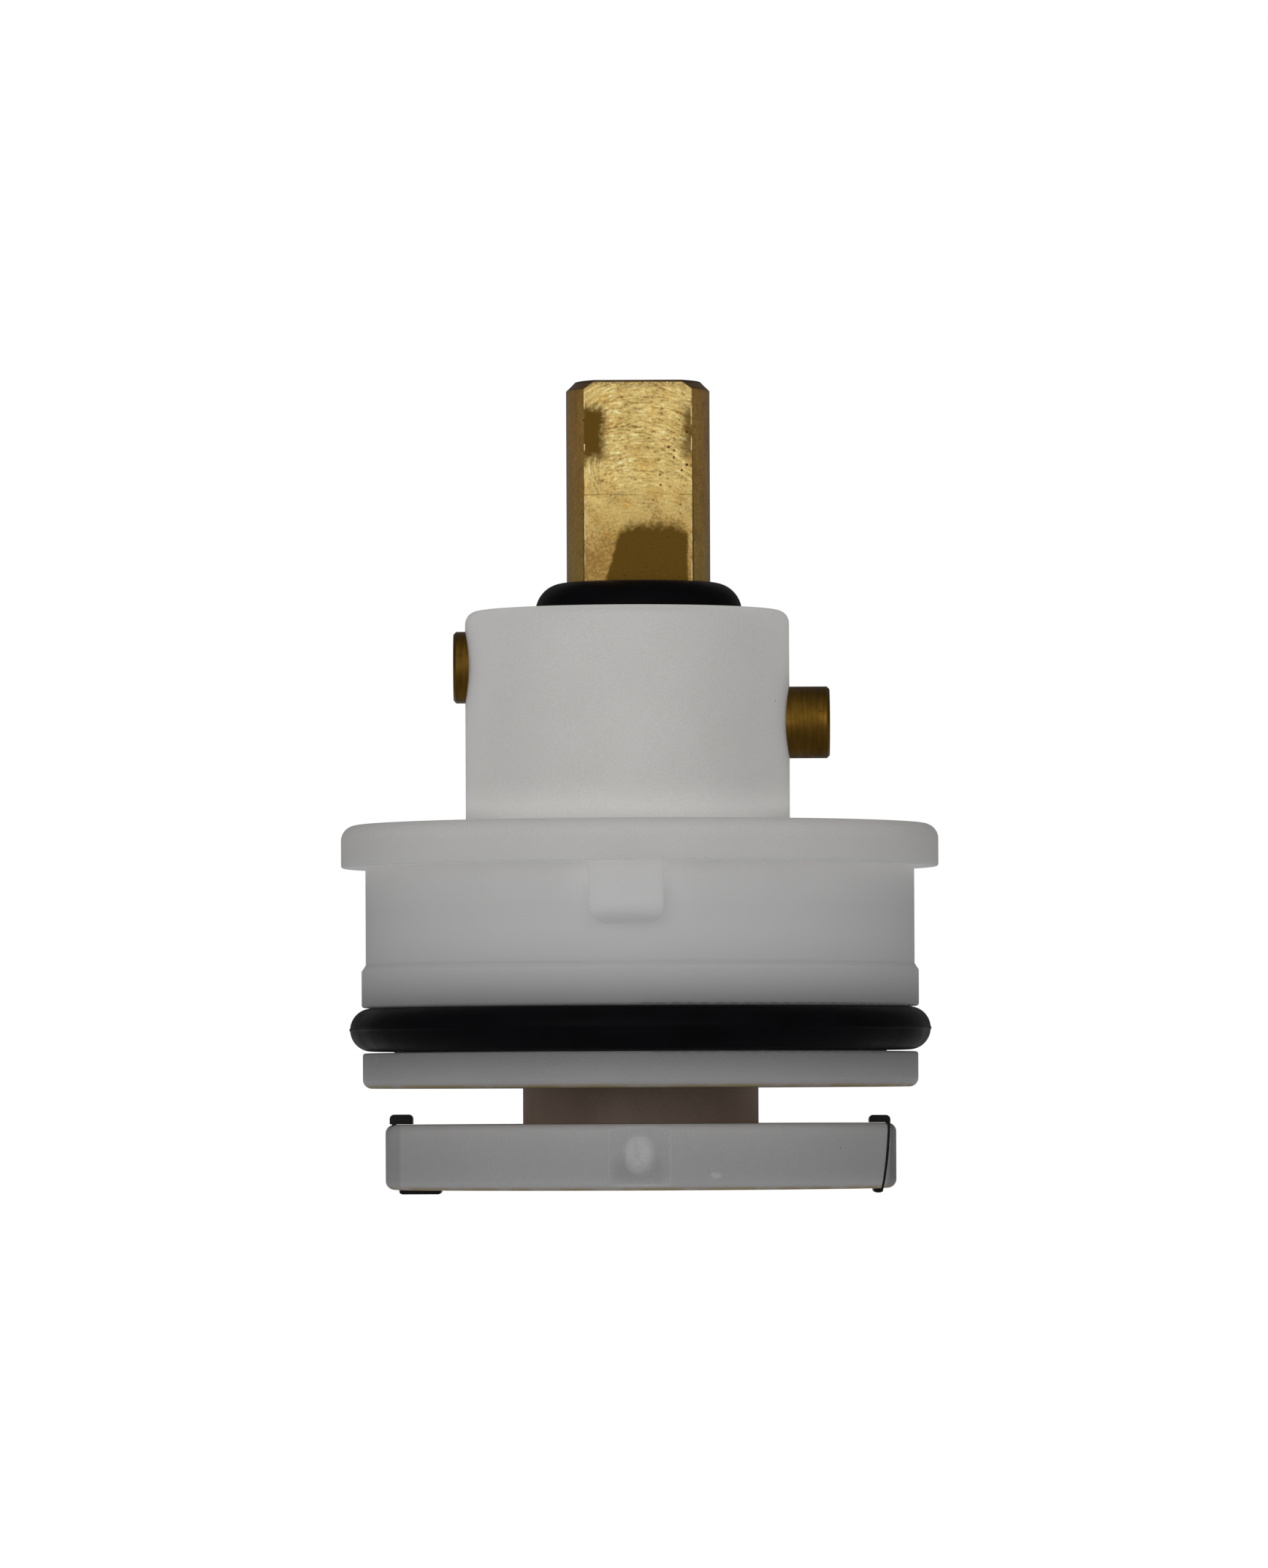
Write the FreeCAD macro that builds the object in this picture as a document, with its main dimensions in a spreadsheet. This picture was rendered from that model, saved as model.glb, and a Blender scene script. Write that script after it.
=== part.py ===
import FreeCAD, Part
import math
import os
import Sketcher

# A rotary diverter cartridge. Millimetres, +Z up. The origin is on the stem's axis, at the height
# of the flange's underside, which seats on the valve body. The front, with the key, faces -Y.

doc = FreeCAD.newDocument("diverter_valve")

# ---------------------------------------------------------------- driving dimensions

# Each row is a cell of the sheet: its alias, its value, and what it measures. Heights are
# measured from the flange's underside. Those with "_down" in their names are depths below it.
DIMENSIONS = [
    ("flange_radius", 16.62, "flange, outer radius"),
    ("flange_top", 2.38, "flange, height of its top face"),
    ("flange_round", 0.85, "flange, rounding of its top edge"),
    ("edge_break", 0.15, "small rounding of moulded and turned edges"),
    ("key_width", 4.15, "locating key, width around the rim"),
    ("key_offset", 0.76, "locating key, distance of its middle from the front, towards -X"),
    ("key_down", 3.35, "locating key, depth of its end"),
    ("key_draft", 0.15, "locating key, taper of its front from top to end"),
    ("key_round", 0.9, "locating key, rounding around its end"),
    ("skirt_radius", 15.27, "skirt, outer radius below the flange"),
    ("step_down", 5.4, "skirt, depth where it starts to slope out to its wider end"),
    ("step_slope", 0.35, "skirt, height of that slope"),
    ("land_radius", 15.5, "skirt, outer radius above the O-ring groove"),
    ("groove_top_down", 7.76, "O-ring groove, depth of its upper wall"),
    ("groove_low_down", 10.27, "O-ring groove, depth of the housing's lower face"),
    ("groove_root", 13.7, "O-ring groove, radius of its floor"),
    ("o_ring_down", 8.99, "body O-ring, depth of its middle"),
    ("o_ring_middle", 14.95, "body O-ring, radius to the middle of its section"),
    ("o_ring_section", 1.2, "body O-ring, radius of its section"),
    ("o_ring_ridge", 0.1, "body O-ring, height of its mould parting ridge"),
    ("web_down", 1.0, "housing web, depth of its underside"),
    ("upper_cavity", 10.0, "housing, radius of the cavity above the cap"),
    ("spigot_bore", 11.65, "housing, radius of the bore that takes the cap"),
    ("spigot_top_down", 4.95, "housing, depth of the shoulder above the cap"),
    ("snap_bore", 12.12, "snap groove, radius"),
    ("snap_high_down", 5.7, "snap groove, depth of its upper wall"),
    ("snap_low_down", 6.7, "snap groove, depth of its lower wall"),
    ("neck_radius", 9.02, "neck, outer radius"),
    ("neck_offset", 0.65, "neck, how far its axis stands from the stem's, towards -X"),
    ("neck_top", 14.28, "neck, height of its top face"),
    ("neck_round", 0.7, "neck, rounding of its top edge"),
    ("stem_bore", 5.05, "housing, radius of the stem's bore"),
    ("ring_seat_bore", 5.85, "housing, radius of the wiper ring's seat"),
    ("ring_seat_height", 12.88, "housing, height of the wiper ring's seat"),
    ("cap_radius", 15.45, "cap, outer radius"),
    ("cap_round", 0.5, "cap, rounding of its lower edge"),
    ("cap_low_down", 12.25, "cap, depth of its lower face"),
    ("cap_floor_down", 10.55, "cap, depth of its floor inside"),
    ("cap_wall_bore", 9.9, "cap, radius inside its spigot"),
    ("hub_bore", 6.65, "cap, radius of the hub's bore"),
    ("seam", 0.02, "gap at a joint between two fixed pieces"),
    ("slip", 0.05, "radial gap around a piece that slips in"),
    ("stem_top", 27.02, "stem, height of its top"),
    ("stem_radius", 5.0, "stem, radius in the housing's bore"),
    ("shank_radius", 4.0, "stem, radius of its shank, above the wiper ring's seat"),
    ("shank_chamfer", 0.5, "stem, chamfer of the shank's top edge"),
    ("flats_width", 5.3, "stem, width across the shank's two flats"),
    ("flats_low", 15.7, "stem, height where the flats end"),
    ("flats_edge", 0.1, "stem, rounding of the flats' top edges"),
    ("stem_root", 3.5, "stem, radius of the floors of its grooves"),
    ("gland_width", 2.0, "stem, width of an O-ring groove"),
    ("upper_seal_height", 4.7, "upper stem O-ring, height of its middle"),
    ("lower_seal_height", 1.7, "lower stem O-ring, height of its middle"),
    ("stem_seal_middle", 4.275, "stem O-ring, radius to the middle of its section"),
    ("stem_seal_section", 0.75, "stem O-ring, radius of its section"),
    ("pin_groove_width", 2.1, "stem, width of the grooves that the pins enter"),
    ("collar_radius", 6.9, "stem, radius of its collar"),
    ("collar_top_down", 1.66, "stem, depth of the collar's top face"),
    ("collar_low_down", 2.9, "stem, depth of the collar's lower face"),
    ("tang_width", 7.0, "stem, width across the drive tang's flats"),
    ("tang_low_down", 9.2, "stem, depth of the drive tang's end"),
    ("stem_turn_angle", 60.0, "stem, turn to each side of the middle, in degrees"),
    ("stop_margin_angle", 0.4, "stop groove, spare turn at each end, in degrees"),
    ("ring_outer", 5.75, "wiper ring, outer radius"),
    ("ring_shoulder_height", 14.23, "wiper ring, height where its dome starts"),
    ("ring_dome", 1.6, "wiper ring, radius of its dome"),
    ("pin_radius", 2.0, "pin, radius of its body"),
    ("pin_length", 6.75, "pin, whole length"),
    ("nose_radius", 1.0, "pin, radius of its nose"),
    ("nose_length", 2.3, "pin, length of its nose"),
    ("stop_pin_height", 11.17, "stop pin, height of its axis"),
    ("stop_pin_reach", 10.32, "stop pin, distance of its outer end from the stem's axis"),
    ("retaining_pin_height", 8.04, "retaining pin, height of its axis"),
    ("retaining_pin_reach", 10.6, "retaining pin, distance of its outer end from the stem's axis"),
    ("washer_top_down", 1.03, "thrust washer, depth of its top face"),
    ("washer_thickness", 0.6, "thrust washer, thickness"),
    ("washer_outer", 9.8, "thrust washer, outer radius"),
    ("washer_bore", 5.15, "thrust washer, radius of its bore"),
    ("seat_top_down", 1.66, "spring seat, depth of its top face"),
    ("seat_thickness", 0.4, "spring seat, thickness"),
    ("seat_outer", 9.4, "spring seat, outer radius"),
    ("seat_bore", 7.2, "spring seat, radius of its bore"),
    ("spring_top_down", 2.09, "spring, depth of its upper end"),
    ("spring_low_down", 8.37, "spring, depth of its lower end"),
    ("spring_middle", 8.3, "spring, radius to the middle of its wire"),
    ("wire_radius", 0.45, "spring, radius of its wire"),
    ("spring_pitch", 1.5, "spring, rise of each coil"),
    ("hub_radius", 6.55, "hub, outer radius"),
    ("hub_top_down", 4.4, "hub, depth of its top"),
    ("hub_low_down", 14.25, "hub, depth of the shoulder that the plate is clamped to"),
    ("hub_flange_radius", 9.4, "hub, radius of its flange"),
    ("hub_flange_top_down", 8.4, "hub, depth of the flange's top face"),
    ("hub_flange_low_down", 9.9, "hub, depth of the flange's lower face"),
    ("socket_width", 7.1, "hub, width across the flats of the tang's socket"),
    ("socket_low_down", 10.6, "hub, depth of the socket's floor"),
    ("spigot_radius", 3.8, "hub, radius of the spigot in the plate"),
    ("spigot_flats", 5.8, "hub, width across the spigot's two flats"),
    ("spigot_low_down", 15.5, "hub, depth of the spigot's end"),
    ("gasket_middle", 5.2, "hub O-ring, radius to the middle of its section"),
    ("gasket_section", 0.46, "hub O-ring, radius of its section"),
    ("gasket_groove_depth", 0.96, "hub O-ring groove, depth"),
    ("gasket_groove_width", 1.1, "hub O-ring groove, width"),
    ("insert_radius", 2.1, "threaded insert, outer radius"),
    ("insert_high_down", 11.7, "threaded insert, depth of its upper end"),
    ("insert_length", 3.6, "threaded insert, length"),
    ("thread_radius", 1.5, "plate screw, radius of its thread"),
    ("glide_top_down", 9.93, "glide washer, depth of its top face"),
    ("glide_thickness", 0.59, "glide washer, thickness"),
    ("glide_outer", 9.6, "glide washer, outer radius"),
    ("plate_radius", 14.2, "seal plate, outer radius"),
    ("plate_top_down", 14.25, "seal plate, depth of its top face"),
    ("plate_low_down", 17.87, "seal plate, depth of its lower face"),
    ("plate_round", 0.5, "seal plate, rounding of its edges"),
    ("ledge_down", 15.7, "seal plate, depth of the ledge under the plate washer"),
    ("head_bore", 5.2, "seal plate, radius of the recess for the screw's head"),
    ("port_inner", 6.9, "port windows and port seal pocket, inner radius"),
    ("port_outer", 11.7, "port windows and port seal pocket, outer radius"),
    ("port_half_angle", 22.0, "port windows and port seal pocket, half of their spread, in degrees"),
    ("window_angle", 30.0, "port windows, direction of their middle from +X or -X, in degrees"),
    ("port_round", 1.2, "port windows and port seal pocket, rounding of their corners"),
    ("pocket_depth", 1.8, "port seal pocket, depth"),
    ("recess_left", 1.77, "front recess, reach towards -X"),
    ("recess_right", 1.62, "front recess, reach towards +X"),
    ("recess_depth", 0.15, "front recess, depth at the middle"),
    ("recess_low_down", 17.6, "front recess, depth of its lower edge"),
    ("gate_width", 1.5, "gate mark, width"),
    ("gate_high_down", 15.0, "gate mark, depth of its upper end"),
    ("gate_low_down", 17.0, "gate mark, depth of its lower end"),
    ("gate_rise", 0.08, "gate mark, how far it stands out"),
    ("gate_round", 0.6, "gate mark, rounding of its corners"),
    ("gate_edge", 0.07, "gate mark, rounding of its outer edge"),
    ("blade_top_x", 13.73, "side seal blade, distance of its middle from the YZ plane at the top"),
    ("blade_low_x", 13.3, "side seal blade, distance of its middle from the YZ plane at the end"),
    ("blade_bend", 20.0, "side seal blade, radius of its bend"),
    ("blade_thickness", 0.14, "side seal blade, thickness"),
    ("blade_front", 3.15, "side seal blade, reach to its open end"),
    ("blade_back", 2.4, "side seal blade, reach to its closed end"),
    ("blade_proud", 0.2, "side seal blade, how far it stands out below the plate"),
    ("slot_reach", 6.0, "side seal slot, how far its cut starts outside the plate"),
    ("head_inner", 12.7, "side seal head, distance of its inner side from the YZ plane"),
    ("head_outer_left", 13.93, "left side seal head, distance of its outer side from the YZ plane"),
    ("head_outer_right", 13.82, "right side seal head, distance of its outer side from the YZ plane"),
    ("head_rise_left", 0.56, "left side seal head, height above the plate"),
    ("head_rise_right", 0.43, "right side seal head, height above the plate"),
    ("head_round", 0.25, "side seal head, rounding of its upper corners"),
    ("head_front", 2.6, "side seal head and foot, reach to the open end"),
    ("head_back", 2.0, "side seal head and foot, reach to the closed end"),
    ("foot_proud", 0.25, "side seal foot, how far it stands out below the plate"),
    ("foot_round", 0.15, "side seal foot, rounding of its lower corners"),
    ("foot_inner_left", 11.1, "left side seal foot, distance of its inner end from the YZ plane"),
    ("foot_inner_right", 12.9, "right side seal foot, distance of its inner end from the YZ plane"),
    ("screw_head_radius", 2.8, "plate screw, radius of its head"),
    ("screw_head_height", 1.45, "plate screw, height of its head"),
    ("screw_top_down", 11.9, "plate screw, depth of its tip"),
    ("screw_slot_width", 0.9, "plate screw, width of its cross slots"),
    ("screw_slot_depth", 0.8, "plate screw, depth of its cross slots"),
    ("screw_slot_reach", 1.7, "plate screw, reach of its cross slots from the middle"),
    ("plate_washer_outer", 4.5, "plate washer, outer radius"),
    ("plate_washer_bore", 1.6, "plate washer, radius of its bore"),
    ("plate_washer_thickness", 0.5, "plate washer, thickness"),
]

CUT_SPARE = 1.0  # how far a cutting outline reaches past the face that it opens
DEGREES_PER_RADIAN = 180 / math.pi


def make_sheet():
    """The spreadsheet of driving dimensions, one row for each."""
    sheet = doc.addObject("Spreadsheet::Sheet", "sizes")
    for row, (alias, value, meaning) in enumerate(DIMENSIONS, start=1):
        sheet.set(f"A{row}", alias)
        sheet.set(f"B{row}", str(value))
        sheet.setAlias(f"B{row}", alias)
        sheet.set(f"C{row}", meaning)
    return sheet


class Size:
    """A number together with the sheet expression that gives it, so that arithmetic keeps both."""

    def __init__(self, value, text):
        self.value = value
        self.text = text

    def __add__(self, other):
        other = as_size(other)
        return Size(self.value + other.value, f"({self.text} + {other.text})")

    def __sub__(self, other):
        other = as_size(other)
        return Size(self.value - other.value, f"({self.text} - {other.text})")

    def __mul__(self, other):
        other = as_size(other)
        return Size(self.value * other.value, f"{self.text} * {other.text}")

    def __truediv__(self, other):
        other = as_size(other)
        return Size(self.value / other.value, f"{self.text} / {other.text}")

    def __neg__(self):
        return Size(-self.value, f"(0 - {self.text})")


class Dimensions:
    """Gives each driving dimension as a Size, by its alias: dim.flange_radius."""

    def __init__(self):
        for alias, value, _meaning in DIMENSIONS:
            setattr(self, alias, Size(value, f"sizes.{alias}"))


def as_size(number):
    """A plain number as a Size. A Size stays as it is."""
    if isinstance(number, Size):
        return number
    return Size(float(number), f"{float(number)}")


def polar(radius, angle):
    """The point at a radius and an angle in degrees, both Sizes."""
    turn = math.radians(angle.value)
    across = Size(radius.value * math.cos(turn), f"{radius.text} * cos({angle.text} * 1 deg)")
    along = Size(radius.value * math.sin(turn), f"{radius.text} * sin({angle.text} * 1 deg)")
    return across, along


make_sheet()
dim = Dimensions()
doc.recompute()

# ---------------------------------------------------------------- sketches and features


def new_body(label):
    """An empty body whose label names the sub-part and its file."""
    body = doc.addObject("PartDesign::Body", label)
    body.Label = label
    return body


def bind(target, **sizes):
    """Sets properties of an object from Sizes. A double underscore in a name stands for a dot."""
    for name, size in sizes.items():
        target.setExpression(name.replace("__", "."), as_size(size).text)


def new_sketch(body, plane, across=0.0, along=0.0, lift=0.0):
    """A sketch on one of the body's origin planes, moved by Sizes in the sketch's own frame.

    On XZ_Plane the sketch's x is +X, its y is +Z, and its lift is towards -Y.
    """
    number = sum(1 for item in body.Group if item.TypeId == "Sketcher::SketchObject") + 1
    sketch = body.newObject("Sketcher::SketchObject", f"{body.Label}_sketch_{number}")
    origin_planes = [item for item in body.Origin.OriginFeatures if item.Role == plane]
    sketch.AttachmentSupport = [(origin_planes[0], "")]
    sketch.MapMode = "FlatFace"
    for axis, size in (("x", across), ("y", along), ("z", lift)):
        if isinstance(size, Size):
            sketch.setExpression(f"AttachmentOffset.Base.{axis}", size.text)
    return sketch


def hold(sketch, geometry, point, x, y):
    """Holds one point of a sketch's geometry at Sizes x and y. A plain 0 puts it on the axis."""
    for kind, axis, size in (("DistanceX", -2, x), ("DistanceY", -1, y)):
        if isinstance(size, Size):
            index = sketch.addConstraint(Sketcher.Constraint(kind, -1, 1, geometry, point, size.value))
            sketch.setExpression(f"Constraints[{index}]", size.text)
        else:
            sketch.addConstraint(Sketcher.Constraint("PointOnObject", geometry, point, axis))


def arc_between(start, end, radius, turn):
    """The short arc from start to end, turning left (1) or right (-1), as a curve."""
    chord = end - start
    rise = math.sqrt(radius**2 - (chord.Length / 2) ** 2)
    side = FreeCAD.Vector(-chord.y, chord.x, 0).normalize()
    centre = (start + end) / 2 + side * rise * turn
    ends = [start, end] if turn > 0 else [end, start]
    angles = [math.atan2(p.y - centre.y, p.x - centre.x) for p in ends]
    circle = Part.Circle(centre, FreeCAD.Vector(0, 0, 1), radius)
    return Part.ArcOfCircle(circle, angles[0], angles[1])


def outline(sketch, corners):
    """Draws a closed outline through corners, held at their Sizes.

    A corner is (x, y), followed by a straight side, or (x, y, radius, turn), followed by an arc.
    """
    flat = [FreeCAD.Vector(as_size(c[0]).value, as_size(c[1]).value, 0) for c in corners]
    sides = []
    for number, corner in enumerate(corners):
        start = flat[number]
        end = flat[(number + 1) % len(flat)]
        if len(corner) == 4:
            radius, turn = as_size(corner[2]), corner[3]
            side = sketch.addGeometry(arc_between(start, end, radius.value, turn))
            held = sketch.addConstraint(Sketcher.Constraint("Radius", side, radius.value))
            sketch.setExpression(f"Constraints[{held}]", radius.text)
            sides.append((side, (1, 2) if turn > 0 else (2, 1)))
        else:
            side = sketch.addGeometry(Part.LineSegment(start, end))
            sides.append((side, (1, 2)))
    for number, (side, points) in enumerate(sides):
        before, before_points = sides[number - 1]
        joined = Sketcher.Constraint("Coincident", before, before_points[1], side, points[0])
        sketch.addConstraint(joined)
        hold(sketch, side, points[0], corners[number][0], corners[number][1])


def circle(sketch, radius, x=0, y=0):
    """Draws a circle of a Size, centred on the sketch's origin or at Sizes x and y."""
    middle = FreeCAD.Vector(as_size(x).value, as_size(y).value, 0)
    ring = sketch.addGeometry(Part.Circle(middle, FreeCAD.Vector(0, 0, 1), radius.value))
    held = sketch.addConstraint(Sketcher.Constraint("Radius", ring, radius.value))
    sketch.setExpression(f"Constraints[{held}]", radius.text)
    hold(sketch, ring, 3, x, y)


def rectangle(sketch, left, right, low, high):
    """Draws a rectangle between Sizes."""
    outline(sketch, [(left, low), (right, low), (right, high), (left, high)])


def volume(body):
    """The body's volume once everything is up to date."""
    doc.recompute()
    return 0.0 if body.Shape.isNull() else body.Shape.Volume


def feature(body, kind, name, sketch, grows, **sizes):
    """Adds a sketch-based feature, sets its Sizes, and checks that it added or removed material."""
    before = volume(body)
    made = body.newObject(kind, f"{body.Label}_{name}")
    made.Profile = sketch
    sketch.Visibility = False
    bind(made, **sizes)
    return made, before, grows


def settle(body, made, before, grows):
    """Stops the build if a feature went the wrong way or did nothing."""
    after = volume(body)
    if (after > before) != grows or abs(after - before) < 1e-4:
        raise RuntimeError(f"{made.Name} changed the volume from {before:.4f} to {after:.4f}")


def revolve(body, name, sketch, axis="V_Axis"):
    """Turns a sketch a full circle around one of its own axes, adding material."""
    made, before, grows = feature(body, "PartDesign::Revolution", name, sketch, True)
    made.ReferenceAxis = (sketch, [axis])
    made.Angle = 360.0
    settle(body, made, before, grows)
    return made


def cut_round(body, name, sketch, axis="V_Axis"):
    """Turns a sketch a full circle around one of its own axes, removing material."""
    made, before, grows = feature(body, "PartDesign::Groove", name, sketch, False)
    made.ReferenceAxis = (sketch, [axis])
    made.Angle = 360.0
    settle(body, made, before, grows)
    return made


def pad(body, name, sketch, length, backwards=False):
    """Extrudes a sketch by a Size, along its normal or backwards."""
    made, before, grows = feature(body, "PartDesign::Pad", name, sketch, True, Length=length)
    made.Reversed = backwards
    settle(body, made, before, grows)
    return made


def pocket(body, name, sketch, length, backwards=False):
    """Cuts a sketch by a Size against its normal, or along its normal when backwards."""
    made, before, grows = feature(body, "PartDesign::Pocket", name, sketch, False, Length=length)
    made.Reversed = backwards
    settle(body, made, before, grows)
    return made


def origin_feature(body, role):
    """One of the body's own origin axes or planes."""
    return [item for item in body.Origin.OriginFeatures if item.Role == role][0]


def around_axis(body, name, original, count):
    """Repeats a feature evenly around the body's Z axis."""
    before = volume(body)
    made = body.newObject("PartDesign::PolarPattern", f"{body.Label}_{name}")
    made.Originals = [original]
    made.Axis = (origin_feature(body, "Z_Axis"), [""])
    made.Angle = 360.0
    made.Occurrences = count
    body.Tip = made
    settle(body, made, before, False)
    return made


def mirrored(body, name, original, plane):
    """Repeats a cut on the other side of one of the body's origin planes."""
    before = volume(body)
    made = body.newObject("PartDesign::Mirrored", f"{body.Label}_{name}")
    made.Originals = [original]
    made.MirrorPlane = (origin_feature(body, plane), [""])
    body.Tip = made
    settle(body, made, before, False)
    return made


def round_edges(body, name, radius, wanted, count):
    """Fillets the edges of the body that the test accepts, of which there must be count."""
    doc.recompute()
    base = body.Tip
    names = [f"Edge{n}" for n, edge in enumerate(base.Shape.Edges, start=1) if wanted(edge)]
    if len(names) != count:
        raise RuntimeError(f"{body.Label} {name}: found {len(names)} edges and not {count}")
    made = body.newObject("PartDesign::Fillet", f"{body.Label}_{name}")
    made.Base = (base, names)
    bind(made, Radius=radius)
    doc.recompute()
    return made


def is_upright(edge):
    """Whether an edge is a straight one along Z."""
    ends = [vertex.Point for vertex in edge.Vertexes]
    return len(ends) == 2 and math.hypot(ends[0].x - ends[1].x, ends[0].y - ends[1].y) < 1e-6


def distance_out(edge):
    """How far the middle of an edge is from the Z axis."""
    middle = edge.CenterOfMass
    return math.hypot(middle.x, middle.y)


# ---------------------------------------------------------------- housing and what is fixed to it


def make_housing():
    """White moulding: flange, skirt with the upper part of the O-ring groove, and eccentric neck."""
    body = new_body("housing")
    sketch = new_sketch(body, "XZ_Plane")
    outline(
        sketch,
        [
            (dim.stem_bore, dim.flange_top),
            (dim.stem_bore, -dim.web_down),
            (dim.upper_cavity, -dim.web_down),
            (dim.upper_cavity, -dim.spigot_top_down),
            (dim.spigot_bore, -dim.spigot_top_down),
            (dim.spigot_bore, -dim.snap_high_down),
            (dim.snap_bore, -dim.snap_high_down),
            (dim.spigot_bore, -dim.snap_low_down),
            (dim.spigot_bore, -dim.groove_low_down),
            (dim.groove_root, -dim.groove_low_down),
            (dim.groove_root, -dim.groove_top_down),
            (dim.land_radius - dim.edge_break, -dim.groove_top_down, dim.edge_break, 1),
            (dim.land_radius, dim.edge_break - dim.groove_top_down),
            (dim.land_radius, -dim.step_down - dim.step_slope),
            (dim.skirt_radius, -dim.step_down),
            (dim.skirt_radius, 0),
            (dim.flange_radius - dim.edge_break, 0, dim.edge_break, 1),
            (dim.flange_radius, dim.edge_break),
            (dim.flange_radius, dim.flange_top - dim.flange_round, dim.flange_round, 1),
            (dim.flange_radius - dim.flange_round, dim.flange_top),
        ],
    )
    revolve(body, "flange_and_skirt", sketch)

    neck = new_sketch(body, "XZ_Plane", across=-dim.neck_offset)
    outline(
        neck,
        [
            (0, dim.flange_top / 2),
            (dim.neck_radius, dim.flange_top / 2),
            (dim.neck_radius, dim.neck_top - dim.neck_round, dim.neck_round, 1),
            (dim.neck_radius - dim.neck_round, dim.neck_top),
            (0, dim.neck_top),
        ],
    )
    revolve(body, "neck", neck)

    bore = new_sketch(body, "XZ_Plane")
    outline(
        bore,
        [
            (0, -dim.web_down - CUT_SPARE),
            (dim.stem_bore, -dim.web_down - CUT_SPARE),
            (dim.stem_bore, dim.ring_seat_height),
            (dim.ring_seat_bore, dim.ring_seat_height),
            (dim.ring_seat_bore, dim.neck_top + CUT_SPARE),
            (0, dim.neck_top + CUT_SPARE),
        ],
    )
    cut_round(body, "stem_bore", bore)

    for name, side, height, pin_reach in (
        ("stop_pin_hole", -1, dim.stop_pin_height, dim.stop_pin_reach),
        ("retaining_pin_hole", 1, dim.retaining_pin_height, dim.retaining_pin_reach),
    ):
        cut_round(body, name, pin_hole_sketch(body, side, height, pin_reach), axis="H_Axis")
    add_key(body)
    return body


def pin_hole_sketch(body, side, height, pin_reach):
    """Half outline of a stepped pin hole, whose axis is the sketch's own x axis."""
    hole = new_sketch(body, "XZ_Plane", along=height)
    reach = dim.neck_radius + dim.neck_offset + CUT_SPARE
    step = pin_reach - dim.pin_length + dim.nose_length
    inside = dim.stem_bore - CUT_SPARE
    radius = dim.pin_radius + dim.seam
    nose = dim.nose_radius + dim.slip
    outline(
        hole,
        [
            (inside * side, 0),
            (inside * side, nose),
            (step * side, nose),
            (step * side, radius),
            (reach * side, radius),
            (reach * side, 0),
        ],
    )
    return hole


def add_key(body):
    """Locating key under the flange: it starts flush with the rim, and tapers a little for the mould."""
    before = volume(body)
    profile = new_sketch(body, "YZ_Plane")
    rim = dim.flange_radius - dim.edge_break
    root = dim.skirt_radius - dim.slip
    outline(
        profile,
        [
            (dim.key_draft - rim, -dim.key_down),
            (-root, -dim.key_down),
            (-root, dim.edge_break),
            (-rim, dim.edge_break),
        ],
    )
    key = body.newObject("PartDesign::Revolution", "housing_key")
    key.Profile = profile
    key.ReferenceAxis = (profile, ["V_Axis"])
    key.Type = "TwoAngles"
    to_left = (dim.key_width / 2 + dim.key_offset) / dim.flange_radius * DEGREES_PER_RADIAN
    to_right = (dim.key_width / 2 - dim.key_offset) / dim.flange_radius * DEGREES_PER_RADIAN
    bind(key, Angle=to_right, Angle2=to_left)
    settle(body, key, before, True)
    key_end = -dim.key_down.value
    half_out = (dim.skirt_radius.value + dim.flange_radius.value) / 2

    def is_lower_edge(edge):
        ends = [vertex.Point for vertex in edge.Vertexes]
        if len(ends) != 2 or any(abs(end.z - key_end) > 1e-6 for end in ends):
            return False
        return max(math.hypot(end.x, end.y) for end in ends) > half_out

    round_edges(body, "key_end", dim.key_round, is_lower_edge, 3)


def make_bottom_cap():
    """Cap that snaps into the housing, closes its cavity, and is the O-ring groove's lower wall."""
    body = new_body("bottom_cap")
    spigot = dim.spigot_bore - dim.slip
    shelf = -dim.groove_low_down - dim.seam
    sketch = new_sketch(body, "XZ_Plane")
    outline(
        sketch,
        [
            (dim.hub_bore, -dim.cap_low_down),
            (dim.cap_radius - dim.cap_round, -dim.cap_low_down, dim.cap_round, 1),
            (dim.cap_radius, dim.cap_round - dim.cap_low_down),
            (dim.cap_radius, shelf - dim.edge_break, dim.edge_break, 1),
            (dim.cap_radius - dim.edge_break, shelf),
            (spigot, shelf),
            (spigot, -dim.snap_low_down - dim.slip),
            (dim.snap_bore - dim.slip, -dim.snap_high_down - dim.slip),
            (spigot, -dim.snap_high_down - dim.slip),
            (spigot, -dim.spigot_top_down - dim.slip),
            (dim.cap_wall_bore, -dim.spigot_top_down - dim.slip),
            (dim.cap_wall_bore, -dim.cap_floor_down),
            (dim.hub_bore, -dim.cap_floor_down),
        ],
    )
    revolve(body, "cap", sketch)
    return body


def make_body_o_ring():
    """Static O-ring with a fine ridge where its mould parts."""
    body = new_body("body_o_ring")
    bind(body, Placement__Base__z=-dim.o_ring_down)
    inner = dim.o_ring_middle - dim.o_ring_section
    outer = dim.o_ring_middle + dim.o_ring_section
    ridge = Size(
        math.sqrt(dim.o_ring_section.value**2 - dim.o_ring_ridge.value**2),
        f"sqrt({dim.o_ring_section.text} ^ 2 - {dim.o_ring_ridge.text} ^ 2)",
    )
    sketch = new_sketch(body, "XZ_Plane")
    outline(
        sketch,
        [
            (dim.o_ring_middle, -dim.o_ring_section, dim.o_ring_section, 1),
            (dim.o_ring_middle + ridge, -dim.o_ring_ridge),
            (outer + dim.o_ring_ridge / 2, 0),
            (dim.o_ring_middle + ridge, dim.o_ring_ridge, dim.o_ring_section, 1),
            (dim.o_ring_middle, dim.o_ring_section, dim.o_ring_section, 1),
            (inner, 0, dim.o_ring_section, 1),
        ],
    )
    revolve(body, "ring", sketch)
    return body


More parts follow.
